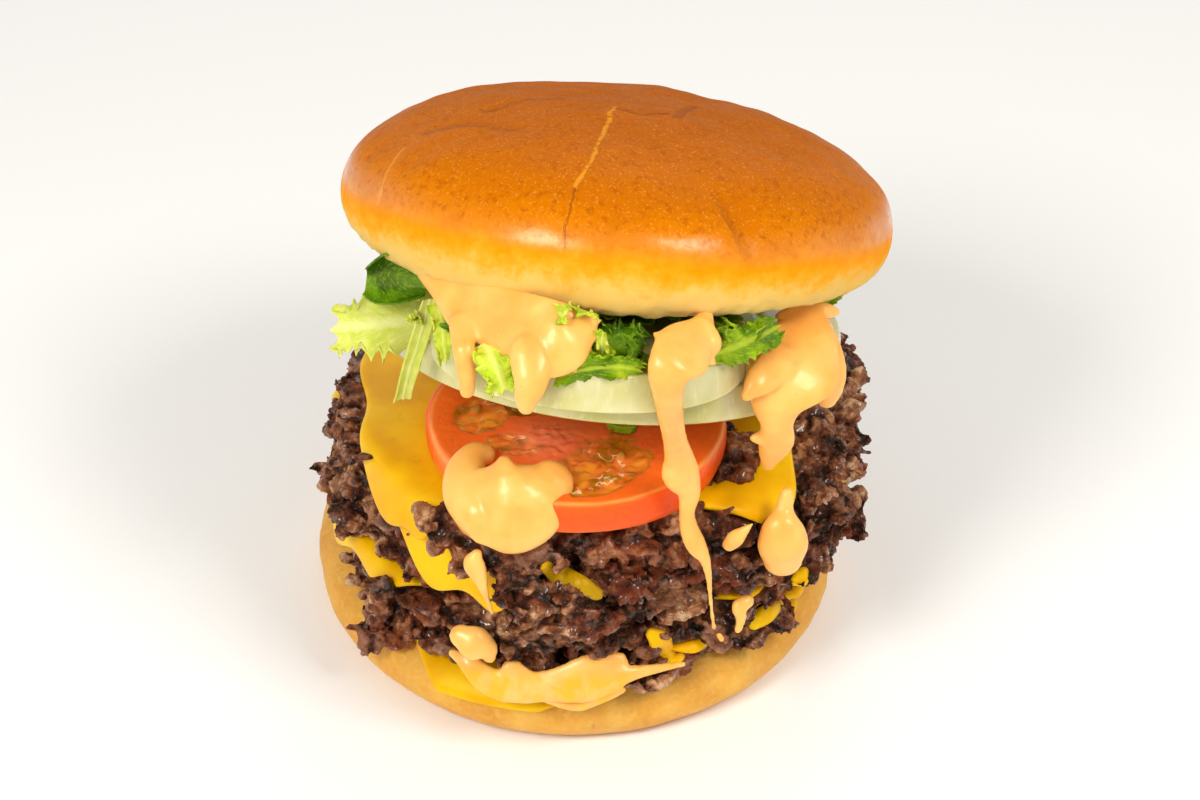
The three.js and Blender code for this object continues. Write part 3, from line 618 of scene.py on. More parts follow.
def plain_copy(node):
    """A CAD solid as a new object whose loose triangles are joined at their corners."""
    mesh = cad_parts[node].data.copy()
    shape = bmesh.new()
    shape.from_mesh(mesh)
    bmesh.ops.remove_doubles(shape, verts=shape.verts, dist=2e-6)
    shape.to_mesh(mesh)
    shape.free()
    mesh.materials.clear()
    copy = bpy.data.objects.new(node + "_copy", mesh)
    scene.collection.objects.link(copy)
    return copy


def baked(source, name, finish):
    """The evaluated object as a plain mesh piece, with the source object removed."""
    evaluated = source.evaluated_get(bpy.context.evaluated_depsgraph_get())
    mesh = bpy.data.meshes.new_from_object(evaluated)
    mesh.name = name
    mesh.materials.clear()
    mesh.materials.append(finish.material)
    mesh.polygons.foreach_set("use_smooth", [True] * len(mesh.polygons))
    mesh.polygons.foreach_set("material_index", [0] * len(mesh.polygons))
    piece = bpy.data.objects.new(name, mesh)
    scene.collection.objects.link(piece)
    bpy.data.objects.remove(source)
    return piece


def new_geometry_tree(name, *inputs):
    """A geometry tree with a mesh in, a mesh out and named number inputs."""
    tree = bpy.data.node_groups.new(name, "GeometryNodeTree")
    tree.interface.new_socket("Mesh", in_out="INPUT", socket_type="NodeSocketGeometry")
    tree.interface.new_socket("Mesh", in_out="OUTPUT", socket_type="NodeSocketGeometry")
    for label, kind in inputs:
        tree.interface.new_socket(label, in_out="INPUT", socket_type=kind)
    source = tree.nodes.new("NodeGroupInput")
    return tree, {out.name: Value(tree, out) for out in source.outputs if out.name}


def add_tree(thing, tree, **values):
    """Puts a geometry tree on an object and sets its named inputs."""
    modifier = thing.modifiers.new(tree.name, "NODES")
    modifier.node_group = tree
    for item in tree.interface.items_tree:
        key = item.name.lower().replace(" ", "_")
        if item.in_out == "INPUT" and key in values:
            modifier[item.identifier] = values[key]
    return modifier


def end_tree(tree, mesh, finish):
    """Ends a tree: what is scattered becomes real mesh, and gets the piece's finish."""
    solid = add_node(tree, "GeometryNodeRealizeInstances", {}, {0: mesh})
    painted = add_node(tree, "GeometryNodeSetMaterial", {}, {"Geometry": solid, "Material": finish.material})
    sink = tree.nodes.new("NodeGroupOutput")
    tree.links.new(painted.socket, sink.inputs[0])


def scatter_lumps(tree, mesh, density, seed, spin_seed, sizes, turns):
    """Small round lumps of random size and turn, scattered over a mesh."""
    spots = add_node(tree, "GeometryNodeDistributePointsOnFaces", {"distribute_method": "RANDOM"}, {
        "Mesh": mesh, "Density": density, "Seed": seed})
    ball = add_node(tree, "GeometryNodeMeshIcoSphere", {}, {"Radius": 0.001, "Subdivisions": 2}).out("Mesh")
    vary = {"data_type": "FLOAT_VECTOR"}
    size = add_node(tree, "FunctionNodeRandomValue", vary, {0: sizes[0], 1: sizes[1], "Seed": seed})
    spin = add_node(tree, "FunctionNodeRandomValue", vary, {0: turns[0], 1: turns[1], "Seed": spin_seed})
    return add_node(tree, "GeometryNodeInstanceOnPoints", {}, {
        "Points": spots.out("Points"), "Instance": ball, "Rotation": spin, "Scale": size})


def melt(thing, voxel, flow=0, rounds=0):
    """Runs overlapping closed forms together into one skin, and lets it flow smooth."""
    skin = thing.modifiers.new("melt", "REMESH")
    skin.mode = "VOXEL"
    skin.voxel_size = voxel
    if rounds:
        smooth = thing.modifiers.new("flow", "SMOOTH")
        smooth.factor = flow
        smooth.iterations = rounds


def exposed_rim(tree, cheese):
    """1 on the bare rim of a patty, 0 inside the pile and under cheese."""
    place = add_node(tree, "GeometryNodeInputPosition", {}, {})
    axes = add_node(tree, "ShaderNodeSeparateXYZ", {}, {0: place})
    reach = (axes.out("X") * axes.out("X") + axes.out("Y") * axes.out("Y")) ** 0.5 * 1000
    near = add_node(tree, "GeometryNodeProximity", {"target_element": "FACES"}, {0: cheese}).out("Distance")
    return reach.eased(*bare_from) * (near * 1000).eased(*clear_of_cheese)


beef_skin = Finish("seared_beef")
ridge = beef_skin.mark("ridge")
tone = beef_skin.noise(11, 3, warp=0.6)
red_parts = beef_skin.noise(13, 2)
grey_parts = beef_skin.noise(9, 3, warp=1.0)
strands = beef_skin.noise(2.3, 4, rough=0.65, warp=0.8)
grit = beef_skin.noise(0.6, 4, rough=0.65)
# Tone that varies at random, with painted light and shade: raised crags are painted lighter and hollows darker.
shade = tone.eased(0.3, 0.7) * 0.46 + strands.eased(0.32, 0.7) * 0.36 + ridge.eased(-0.1, 1.3) * 0.34
base = beef_skin.ramp(shade, (0.0, 22, 7, 4), (0.28, 50, 20, 12), (0.48, 86, 41, 24),
                      (0.64, 122, 68, 40), (0.82, 170, 116, 78), (1.0, 216, 176, 134))
base = beef_skin.blend(red_parts.eased(0.5, 0.64) * 0.55, base, rgb(126, 50, 18))
base = beef_skin.blend(grey_parts.eased(0.56, 0.68) * 0.5, base, rgb(174, 124, 96))
# Painted shade: the deep hollows between the crags are made nearly black.
base = beef_skin.blend((1 - ridge.eased(-0.2, 0.5)) * 0.85, base, rgb(20, 6, 4))
base = beef_skin.blend(grit.eased(0.56, 0.72) * 0.4, base, rgb(200, 148, 108))
wet = beef_skin.noise(3, 2).eased(0.5, 0.6)
beef_skin.set(base_color=base, roughness=0.62 - 0.3 * wet, specular_ior_level=0.28,
              specular_tint=(1, 0.8, 0.62, 1), coat_weight=0.8 * wet, coat_roughness=0.12,
              normal=beef_skin.relief(grit + 0.7 * strands, 0.5))

# Pushes the bare rim about in clumps, then scatters flat shards and small grains over it, so that
# they can be melted into it.
lump_tree, given = new_geometry_tree(
    "mince_clumps", ("Neighbours", "NodeSocketObject"), ("Shards", "NodeSocketFloat"),
    ("Grains", "NodeSocketFloat"), ("Seed", "NodeSocketInt"))
neighbours = add_node(lump_tree, "GeometryNodeObjectInfo", {}, {0: given["Neighbours"]}).out("Geometry")
bare = exposed_rim(lump_tree, neighbours)
place = add_node(lump_tree, "GeometryNodeInputPosition", {}, {})
clumps = add_node(lump_tree, "ShaderNodeTexNoise", {"noise_dimensions": "4D"}, {
    "Vector": place, "W": given["Seed"] * 1.7, "Scale": 1000 / 12.0, "Detail": 3.5,
    "Roughness": 0.6}).out("Color")
centred = vector_maths(lump_tree, "SUBTRACT", clumps, (0.5, 0.5, 0.5))
pushed = vector_maths(lump_tree, "MULTIPLY", centred, (2.6 * clump_push, 2.6 * clump_push, 1.7 * clump_push))
pushed = vector_maths(lump_tree, "SCALE", pushed, Scale=bare)
clumped = add_node(lump_tree, "GeometryNodeSetPosition", {}, {"Geometry": given["Mesh"], "Offset": pushed})
joined = add_node(lump_tree, "GeometryNodeJoinGeometry", {}, {})
lump_tree.links.new(clumped.socket, joined.node.inputs[0])
scatters = [("Shards", flat_turns, shard_size, 11), ("Grains", any_turns, grain_size, 23)]
for count, turns, sizes, salt in scatters:
    seed = given["Seed"] + salt
    scattered = scatter_lumps(lump_tree, clumped, bare * given[count], seed, seed + 5, sizes, turns)
    lump_tree.links.new(scattered.socket, joined.node.inputs[0])
end_tree(lump_tree, joined, beef_skin)

# Cracks the melted clumps into strands of mince and roughens them; the depth is kept to paint shade and light
# into the colour.
crag_tree, given = new_geometry_tree(
    "mince_crags", ("Neighbours", "NodeSocketObject"), ("Depth", "NodeSocketFloat"),
    ("Everywhere", "NodeSocketFloat"))
neighbours = add_node(crag_tree, "GeometryNodeObjectInfo", {}, {0: given["Neighbours"]}).out("Geometry")
bare = exposed_rim(crag_tree, neighbours)
bare = bare.maths("MAXIMUM", bare, given["Everywhere"])
place = add_node(crag_tree, "GeometryNodeInputPosition", {}, {})
warp = add_node(crag_tree, "ShaderNodeTexNoise", {}, {
    "Vector": place, "Scale": 220.0, "Detail": 3.0}).out("Color")
warped = vector_maths(crag_tree, "MULTIPLY_ADD", warp, (0.0075, 0.0075, 0.0055), place)
cracks = add_node(crag_tree, "ShaderNodeTexVoronoi", {"feature": "DISTANCE_TO_EDGE"}, {
    "Vector": warped, "Scale": 1000 / 4.6}).out("Distance")
fine = add_node(crag_tree, "ShaderNodeTexVoronoi", {"feature": "SMOOTH_F1"}, {
    "Vector": warped, "Scale": 1000 / 1.7, "Smoothness": 0.4}).out("Distance")
torn = add_node(crag_tree, "ShaderNodeTexNoise", {}, {
    "Vector": warped, "Scale": 1000 / 3.4, "Detail": 5.0, "Roughness": 0.68}).out("Fac")
broad = add_node(crag_tree, "ShaderNodeTexVoronoi", {"feature": "DISTANCE_TO_EDGE"}, {
    "Vector": warped, "Scale": 1000 / 10.5}).out("Distance")
height = 0.25 * cracks.eased(0.0, 0.22) + 2.8 * (torn - 0.5) - 0.45 * fine + 0.85 * broad.eased(0.0, 0.14)
push = (height - 0.62) * bare * given["Depth"] * 0.001
away = vector_maths(crag_tree, "SCALE", add_node(crag_tree, "GeometryNodeInputNormal", {}, {}), Scale=push)
kept = add_node(crag_tree, "GeometryNodeStoreNamedAttribute", {"data_type": "FLOAT", "domain": "POINT"}, {
    "Geometry": given["Mesh"], "Name": "ridge", "Value": height})
cragged = add_node(crag_tree, "GeometryNodeSetPosition", {}, {"Geometry": kept, "Offset": away})
end_tree(crag_tree, cragged, beef_skin)


def make_guard(cheeses):
    """The soft parts that the meat must not grow over, as one object."""
    mesh = bpy.data.meshes.new("guard")
    shape = bmesh.new()
    for other in cheeses:
        shape.from_mesh(other.data)
    for node in ("heel", "tomato_slice", "sauce_tomato", "pickle_chip"):
        shape.from_mesh(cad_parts[node].data)
    shape.to_mesh(mesh)
    shape.free()
    guard = bpy.data.objects.new("guard", mesh)
    scene.collection.objects.link(guard)
    return guard


guard_object = make_guard(cheese_pieces)
top_guard = make_guard(cheese_pieces[5:])
# The lowest patty is drawn in about its own middle, so that the heel shows all round it.
lowest_middle = (0.0045, -0.0020)
lowest_place = (0.0030, -0.0010)
lowest_shrink = Matrix.Translation((*lowest_place, 0)) @ Matrix.Diagonal((0.965, 0.975, 1, 1))
lowest_shrink = lowest_shrink @ Matrix.Translation((-lowest_middle[0], -lowest_middle[1], 0))
struck_pieces = [heel, *cheese_pieces]
for layer in range(1, patty_count + 1):
    meat = plain_copy(f"patty_{layer}")
    if layer == 1:
        meat.data.transform(lowest_shrink)
    add_bits(meat, torn_bits.get(layer, []))
    guard = top_guard if layer == patty_count else guard_object
    melt(meat, shell_voxel)
    add_tree(meat, lump_tree, neighbours=guard, shards=shard_density, grains=grain_density, seed=layer)
    melt(meat, meat_voxel, 0.5, 2)
    thin_out = meat.modifiers.new("thin_out", "DECIMATE")
    thin_out.ratio = kept_faces
    add_tree(meat, crag_tree, neighbours=guard, depth=crag_depth)
    piece = baked(meat, f"beef_patty_{layer}", beef_skin)
    serve(piece, "beef", f"patty_{layer}")
    struck_pieces.append(piece)

# Crumbs of mince that cling to the top cheese beside the tomato.
crumb_middle = (29.5, -33.5)
crumb_reach = (10, 9)
crumb_tree, given = new_geometry_tree(
    "mince_crumbs", ("Density", "NodeSocketFloat"), ("Seed", "NodeSocketInt"))
place = add_node(crumb_tree, "GeometryNodeInputPosition", {}, {})
axes = add_node(crumb_tree, "ShaderNodeSeparateXYZ", {}, {0: place})
aside = [(axes.out(axis) * 1000 - middle) * (1 / reach)
         for axis, middle, reach in zip("XY", crumb_middle, crumb_reach)]
within = 1 - (aside[0] * aside[0] + aside[1] * aside[1]).eased(0.55, 1.1)
facing = add_node(crumb_tree, "GeometryNodeInputNormal", {}, {})
upward = add_node(crumb_tree, "ShaderNodeSeparateXYZ", {}, {0: facing}).out("Z")
thick = within * upward.eased(-0.2, 0.3) * given["Density"]
seed = given["Seed"]
scattered = scatter_lumps(crumb_tree, given["Mesh"], thick, seed, seed, crumb_size, any_turns)
end_tree(crumb_tree, scattered, beef_skin)
crumbs = bpy.data.objects.new("crumbs", cheese_pieces[5].data.copy())
scene.collection.objects.link(crumbs)
add_tree(crumbs, crumb_tree, density=crumb_density, seed=3)
melt(crumbs, crumb_voxel)
add_tree(crumbs, crag_tree, neighbours=guard_object, depth=crag_depth * 0.8, everywhere=1.0)
serve(baked(crumbs, "beef_crumbs", beef_skin), "beef")
bpy.data.objects.remove(guard_object)
bpy.data.objects.remove(top_guard)

# ---- Tomato slice ----
# A ripe slice lying on the top patty: smooth skin, a thick wall of flesh, and seed chambers
# full of wet greenish jelly between fleshy partitions. It is turned, then its chambers sink in.
tomato_radius = 30.2
tomato_thickness = 7.2
tomato_place = (0.5, -32, 62.3)
tomato_pitch = -5
# Seed chambers: middle, half length and half width, and turn in degrees; then seeds: place and turn.
chambers = [(-19, 1, 8.5, 6, 65), (-12, -9.5, 7, 3.4, -20), (5.2, -16.6, 12, 8.4, 60),
            (-8.5, 3.6, 9, 3.4, 6), (16, 9, 11, 6.5, 40), (-3, 18, 10, 6, 0)]
seeds = [(-3.2, -12.2, 100), (6.4, -21, 20), (8.6, -13.2, 75), (-20.4, 3.2, 60), (12, 8, 30)]
seed_size = (1.9, 1.0)


def tilted(place, pitch, roll):
    """Where a tilted slice lies: leaned about X by pitch after it is leaned about Y by roll."""
    lean = Matrix.Rotation(math.radians(pitch), 4, "X") @ Matrix.Rotation(math.radians(roll), 4, "Y")
    return np.array(Matrix.Translation(place) @ lean)


def laid(points, pose):
    """Points of a slice moved to where it lies."""
    return points @ pose[:3, :3].T + pose[:3, 3]


def chamber_depth(x, y):
    """1 inside a seed chamber and 0 in the flesh between."""
    deep = np.zeros_like(x)
    flat = np.column_stack([x, y, 0 * x])
    for cx, cy, long, wide, tilt in chambers:
        a = math.radians(tilt)
        along = (x - cx) * math.cos(a) + (y - cy) * math.sin(a)
        across = -(x - cx) * math.sin(a) + (y - cy) * math.cos(a)
        ragged = 0.12 * lumps(flat, 4, cx) + 0.07 * lumps(flat, 1.8, cy)
        deep = np.maximum(deep, 1 - ease(np.hypot(along / long, across / wide) + ragged, 0.7, 1.05))
    return deep


def apart(value, middle):
    """How far a value lies from a middle, either way."""
    return (value - middle).maths("ABSOLUTE", value - middle)


tomato_profile = [(0.93 * share * tomato_radius, 0) for share in (0.2, 0.5, 0.8, 0.98)]
for a in np.linspace(-80, 80, 16):
    out = math.cos(math.radians(a)) ** 0.5
    lift = 0.5 + 0.5 * math.sin(math.radians(a))
    tomato_profile.append((tomato_radius * (0.94 + 0.06 * out), tomato_thickness * lift))
tomato_profile += [(tomato_radius * share, tomato_thickness) for share in np.linspace(0.95, 0.02, 72)]
angle, reach, height, tomato_faces = turned_skin(tomato_profile, 288)
reach = reach * (1 + 0.018 * ripple(angle, 3, 2.2))
tomato_points = stood(angle, reach, height)
face_side = height > tomato_thickness - 0.1
face_x, face_y = tomato_points[:, 0], tomato_points[:, 1]
sunk = chamber_depth(face_x, face_y) * face_side
seeded = np.zeros_like(face_x)
for seed_x, seed_y, way in seeds:
    a = math.radians(way)
    long = ((face_x - seed_x) * math.cos(a) + (face_y - seed_y) * math.sin(a)) / seed_size[0]
    tapered = seed_size[1] * (1 - 0.3 * long)
    wide = ((face_y - seed_y) * math.cos(a) - (face_x - seed_x) * math.sin(a)) / tapered
    seeded = np.maximum(seeded, np.clip(1 - long ** 2 - wide ** 2, 0, 1) * face_side)
core = np.exp(-(((face_x + 6) / 6) ** 2) - (((face_y + 9) / 6) ** 2)) * face_side
wavy = 0.8 * lumps(tomato_points, 4.2, 7) + 0.4 * lumps(tomato_points, 1.9, 2)
fleshy = lumps(tomato_points, 1.7, 4)
jelly_lift = sunk * (0.55 * wavy - 0.7) + 0.6 * np.sqrt(seeded) * sunk
tomato_points[:, 2] += jelly_lift + core * (0.4 * fleshy + 0.5)
tomato_points[:, 2] += face_side * 0.12 * lumps(tomato_points, 5, 3)
tomato_flesh = Finish("tomato_flesh")
sunk_mark = tomato_flesh.mark("sunk")
reach_mark = tomato_flesh.mark("reach")
face_mark = tomato_flesh.mark("face")
seed_mark = tomato_flesh.mark("seeded")
core_mark = tomato_flesh.mark("core")
jelly = tomato_flesh.noise(6, 3, warp=0.8)
fibres = tomato_flesh.noise(1.6, 3)
# The pale ring at 0.972 of the reach is a painted highlight along the cut rim.
wall = tomato_flesh.ramp(reach_mark, (0.0, 244, 124, 66), (0.45, 246, 110, 46), (0.8, 246, 106, 30),
                         (0.95, 244, 108, 28), (0.972, 246, 150, 70), (0.986, 246, 92, 12),
                         (1.0, 240, 80, 6))
gel = tomato_flesh.ramp(jelly.eased(0.34, 0.66), (0.0, 160, 108, 0), (0.35, 204, 112, 6),
                        (0.65, 244, 118, 46),
                        (1.0, 240, 152, 40))
rind = sunk_mark.eased(0.1, 0.4) * (1 - sunk_mark.eased(0.5, 0.95))
base = tomato_flesh.blend(sunk_mark.eased(0.25, 0.7), wall, gel)
base = tomato_flesh.blend(rind * 0.4, base, rgb(136, 100, 0))
base = tomato_flesh.blend(core_mark * 0.85, base, rgb(248, 132, 96))
base = tomato_flesh.blend(fibres.eased(0.55, 0.8) * 0.3 * face_mark, base, rgb(246, 150, 92))
base = tomato_flesh.blend(seed_mark.eased(0.1, 0.7) * 0.45, base, rgb(240, 180, 90))
wet = (sunk_mark + core_mark).clamped()
drops = tomato_flesh.noise(3.4, 1, warp=0.5)
# Painted glints follow the drops of jelly, because the lamps catch too few of them.
glint = (1 - apart(drops, 0.5).eased(0.006, 0.022)) * tomato_flesh.noise(5, 1).eased(0.5, 0.58)
base = tomato_flesh.blend(glint * sunk_mark.eased(0.3, 0.9) * 0.8, base, rgb(255, 228, 190))
tomato_flesh.set(base_color=base, roughness=0.3 - 0.2 * wet + 0.15 * fibres, specular_tint=(1, 0.8, 0.5, 1),
                 coat_weight=0.05 + 0.95 * wet, coat_roughness=0.06,
                 normal=tomato_flesh.relief(fibres * (1 - 0.7 * wet) * 0.5 + 2.0 * drops * wet, 0.5))
tomato_flesh.flesh(0.35, 2.5, (1.0, 0.35, 0.12))
tomato = make_piece("tomato_round", laid(tomato_points, tilted(tomato_place, tomato_pitch, 0)), tomato_faces,
                    tomato_flesh, sunk=sunk, reach=reach / tomato_radius, face=face_side,
                    seeded=seeded * sunk, core=core)
serve(tomato, "tomato", "tomato_slice")

# ---- Onion slices ----
# Two thick slices cut across a white onion: moist, pale yellow-green and a little see-through,
# with close-set rings whose edges stand slightly uneven on the cut face.
onion_place = (8, -14, 74.2)
onion_pose = tilted(onion_place, -19, 3.5)
# Rings are as wide on both slices: so many of them within this radius.
ring_count = 4.2
ringed_radius = 31
# Each slice: its node, radius, thickness, place on the lower slice and seed.
onion_rounds = [("onion_lower", 46, 7, (0, 0, 0), 1.3), ("onion_upper", 31, 7.5, (-5.7, -29.5, 7.4), 4.1)]
onion_flesh = Finish("onion_flesh")
reach_mark = onion_flesh.mark("reach")
face_mark = onion_flesh.mark("face")
fibres = onion_flesh.noise(1.3, 3, where=onion_flesh.stretched(1, 9, (19, 0, 0)))
cloud = onion_flesh.noise(9, 2)
base = onion_flesh.ramp(cloud.eased(0.3, 0.7), (0.0, 192, 188, 112), (0.5, 200, 194, 130),
                        (1.0, 208, 202, 150))
base = onion_flesh.blend(fibres.eased(0.5, 0.8) * 0.25, base, rgb(246, 244, 214))
ringing = reach_mark * ring_count + cloud * 0.25
rings = ringing.maths("FRACT", ringing)
ring_line = (1 - rings.eased(0.0, 0.12)) * face_mark
base = onion_flesh.blend(ring_line * 0.5, base, rgb(176, 190, 110))
onion_flesh.set(base_color=base, specular_tint=(1, 0.95, 0.8, 1), roughness=0.16 + 0.12 * cloud,
                coat_weight=0.3, coat_roughness=0.08,
                normal=onion_flesh.relief(fibres, 0.06))
onion_flesh.flesh(0.6, 5, (1.0, 0.95, 0.55))
for node, radius, thick, shift, seed in onion_rounds:
    profile = [(radius * share, 0) for share in np.linspace(0.05, 0.955, 14)]
    for a in np.linspace(-90, 90, 22):
        bulge = math.cos(math.radians(a)) ** 0.35
        profile.append((radius * (0.965 + 0.035 * bulge), thick * (0.5 + 0.5 * math.sin(math.radians(a)))))
    profile += [(radius * share, thick) for share in np.linspace(0.955, 0.02, 90)]
    angle, reach, height, faces = turned_skin(profile, 256)
    face_side = height > thick - 0.02
    ring = reach * ring_count / ringed_radius + 0.2 * ripple(angle, 2, seed)
    step = np.abs((ring % 1) - 0.5) * 2
    height = height - face_side * (0.28 * ease(step, 0.75, 1) + 0.15 * np.sin(np.floor(ring) * 2.4))
    reach = reach * (1 + 0.012 * ripple(angle, 2, seed))
    points = stood(angle, reach, height) + np.array(shift)
    piece = make_piece(node + "_round", laid(points, onion_pose), faces, onion_flesh,
                       reach=reach / ringed_radius, face=face_side)
    serve(piece, "onion", node)

# ---- Lettuce ----
# Curly endive and frilly leaves, thin and springy, with toothed edges and pale ribs. Each leaf
# follows a spine, spreads to both sides with ruffles, and its edge is torn into pointed teeth.
crown_place = (8.5, -6, 102.7)
crown_pose = tilted(crown_place, -23.8, 5.3)
crown_cut = 8.5
leaf_thickness = 0.9


def plane_height(pose, lift):
    """Height over (x, y) of a tilted plane that lies lift along the pose's own axis."""
    normal = pose[:3, 2]
    point = pose[:3, 3] + normal * lift
    return lambda x, y: point[2] - (normal[0] * (x - point[0]) + normal[1] * (y - point[1])) / normal[2]


onion_top = plane_height(onion_pose, 14.9)
crown_underside = plane_height(crown_pose, -crown_cut)


def spline(points, t):
    """A smooth curve through points, at shares t of its length in steps."""
    points = np.asarray(points, float)
    count = len(points) - 1
    padded = np.vstack([2 * points[0] - points[1], points, 2 * points[-1] - points[-2]])
    position = np.clip(t, 0, 1) * count
    k = np.minimum(position.astype(int), count - 1)
    f = (position - k)[:, None]
    p0, p1, p2, p3 = (padded[k + n] for n in range(4))
    return 0.5 * (2 * p1 + (p2 - p0) * f + (2 * p0 - 5 * p1 + 4 * p2 - p3) * f ** 2
                  + (3 * p1 - p0 - 3 * p2 + p3) * f ** 3)


def leaf_finish(name, deep, middle, pale, rib, depth):
    """Leaf skin between two greens, paler at the rib, with fine veins that run along and outward."""
    leaf = Finish(name)
    along, out = leaf.mark("along"), leaf.mark("across") * 2 - 1
    side = apart(out, 0)
    tone = leaf.noise(6, 3, warp=0.4)
    fan = leaf.node("ShaderNodeCombineXYZ", {}, {0: along * 1.2 - side * 0.5, 1: out * 0.5, 2: 0.0})
    veins = leaf.node("ShaderNodeTexNoise", {}, {
        "Vector": fan, "Scale": 16.0, "Detail": 3.0, "Distortion": 0.5})
    colour = leaf.ramp(tone.eased(0.3, 0.7), (0.0, *deep), (0.5, *middle), (1.0, *pale))
    colour = leaf.blend(veins.eased(0.52, 0.66) * 0.4, colour, rgb(*rib))
    rib_share = 0.2 if name == "dark_leaf" else 0.6
    colour = leaf.blend((1 - side.eased(0.04, 0.22)) * rib_share, colour, rgb(*rib))
    leaf.set(base_color=colour, roughness=0.34 + 0.2 * tone, specular_tint=(0.9, 1, 0.35, 1),
             normal=leaf.relief(veins + 0.3 * leaf.noise(1.2, 2), depth))
    leaf.flesh(0.3, 1.6, (0.75, 1.0, 0.2))
    return leaf


# Each skin: its deep, middle and pale green, its rib and the depth of its relief.
leaf_tones = {
    "pale": ((186, 196, 70), (204, 208, 94), (214, 216, 122), (226, 226, 160), 0.10),
    "green": ((62, 104, 0), (110, 148, 0), (160, 186, 12), (192, 206, 56), 0.22),
    "bright": ((150, 188, 6), (190, 212, 40), (216, 226, 84), (230, 232, 130), 0.18),
    "dark": ((28, 66, 0), (62, 106, 2), (108, 150, 10), (150, 180, 40), 0.22),
}
leaf_skins = {tint: leaf_finish(tint + "_leaf", *tones) for tint, tones in leaf_tones.items()}


def make_leaf(name, tint, spine, across, width, ruffle, waves, seed, teeth=10, bite=0.35, cup=0.0, roll=0.0,
              cells=(140, 36)):
    """A toothed and ruffled blade along a spine; bite is the depth of its teeth, roll its turn to each side."""
    side = np.array(across, float)
    side /= np.linalg.norm(side)

    def place(u, v):
        t = np.clip(u * (1 - min(0.1, 0.25 * bite) * np.abs(np.sin(3.6 * math.pi * v + seed)) * ease(u, 0.7,
                1)), 0, 1)
        along = spline(spine, np.clip(t + 0.01, 0, 1)) - spline(spine, np.clip(t - 0.01, 0, 1))
        along /= np.linalg.norm(along, axis=1)[:, None]
        normal = np.cross(along, side)
        normal /= np.linalg.norm(normal, axis=1)[:, None]
        out = 2 * v - 1
        edge = np.abs(out)
        phase = teeth * u + 0.35 * np.sin(9 * u + seed) + 0.25 * np.sin(23 * u + 2 * seed) + 0.5 * (out > 0)
        spike = (1 - np.abs(2 * (phase % 1) - 1)) ** 1.8 * (0.6
                + 0.4 * np.sin(12.9 * np.floor(phase) + seed))
        torn = 1 - bite * edge ** 4 * (1 - spike) + 0.12 * edge * np.sin(waves * 5.3 * u + seed
                + 3 * np.sign(out))
        reach = width(t) * out * torn
        lift = ruffle * edge ** 1.5 * np.sin(waves * turn * u + seed + 1.3 * np.sign(out))
        lift = lift + 0.55 * ruffle * edge ** 2 * np.sin(waves * 2.7 * turn * u + 2 * seed
                + 2.1 * out) + cup * out * out
        lift = lift + 0.22 * ruffle * edge ** 3 * np.sin(waves * 6.1 * turn * u + 3 * seed + 4 * out)
        if roll:
            lift = lift + width(t) * (1 - np.cos(roll * out)) / roll
            reach = width(t) * np.sin(roll * out) / roll
        return spline(spine, t) + along * (u - np.clip(u, 0, 1))[:, None] + side * reach[:,
                None] + normal * lift[:, None]

    def thin(u, v):
        rim = np.minimum(np.minimum(u, 1 - u), np.minimum(v, 1 - v))
        return leaf_thickness * (0.3 + 0.4 * np.exp(-((2 * v - 1) / 0.18) ** 2) + 0.2 * ease(rim, 0, 0.05))

    piece = make_sheet(name + "_blade", place, thin, cells[0], cells[1], leaf_skins[tint])
    serve(piece, "lettuce_pale" if tint == "pale" else "lettuce_green",
          *([name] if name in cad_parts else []))


def taper_both(wide):
    """Half the width of a leaf that narrows to both ends."""
    return lambda t: wide * np.sin(math.pi * (0.12 + 0.76 * t)) ** 0.7


make_leaf("leaf_left", "pale", [(-25, -33, 97.5), (-33.5, -36, 97.3), (-41, -37, 97), (-47.5, -36.5, 96)],
          (0.05, 0.62, 0.78), lambda t: 7.9 - 1.3 * t, 0.8, 1.6, 1, teeth=6, bite=0.5, cells=(200, 44))
make_leaf("leaf_curl", "dark", [(-40, -33, 105.2), (-35, -33, 106.2), (-28, -34.5, 106)],
          (0.1, 0.45, 0.9), taper_both(8.2), 0.2, 1, 2, teeth=3, bite=0.06, roll=1.7)
make_leaf("leaf_stem", "pale",
          [(-27.4, -40.5, 106.2), (-29, -43, 101), (-31.6, -43.5, 92), (-33.6, -42, 82.6)],
          (1, 0.05, 0.1), lambda t: 1.5 + 0.5 * t, 0.15, 1, 3, teeth=1, bite=0.05, cup=0.6, cells=(80, 16))
make_leaf("leaf_frill_left", "bright", [(-25.5, -44.5, 108), (-24.6, -50, 106.5), (-24.2, -53.5, 100.3)],
          (1, 0.1, 0.2), lambda t: 3 - 1.2 * t, 1, 2, 4, teeth=6)
make_leaf("leaf_frill_front", "bright", [(-16.5, -59.5, 110.4), (-14.4, -65, 109.6), (-12.4, -67, 104.4)],
          (0.95, 0.1, 0.3), lambda t: 5.2 - 1.8 * t, 1.7, 2.4, 5, teeth=7, bite=0.5)
make_leaf("leaf_middle", "dark", [(-1, -59, 109.5), (6, -60, 110), (14, -59, 109)],
          (0.12, 0.35, 0.9), taper_both(6.2), 1.5, 2.6, 6, teeth=8)
make_leaf("leaf_middle_fold", "green",
          [(-3.5, -66.5, 107.4), (2, -65.5, 109.3), (9, -64.5, 108.8), (13, -64, 107.6)],
          (0.3, 0.5, 0.75), taper_both(3), 1.3, 2, 8, teeth=8)
make_leaf("leaf_right", "green", [(24.6, -57, 105.4), (31.5, -54, 106.2), (39, -47, 105)],
          (-0.5, 0.3, 0.8), taper_both(4.6), 1, 2.2, 7, teeth=7)
make_leaf("leaf_far_right", "green", [(46.5, -27, 94.2), (50, -25.5, 94.6), (53.5, -24, 95.2)],
          (0.2, 0.3, 0.9), taper_both(1.9), 0.7, 1.5, 9, teeth=4, cells=(60, 16))
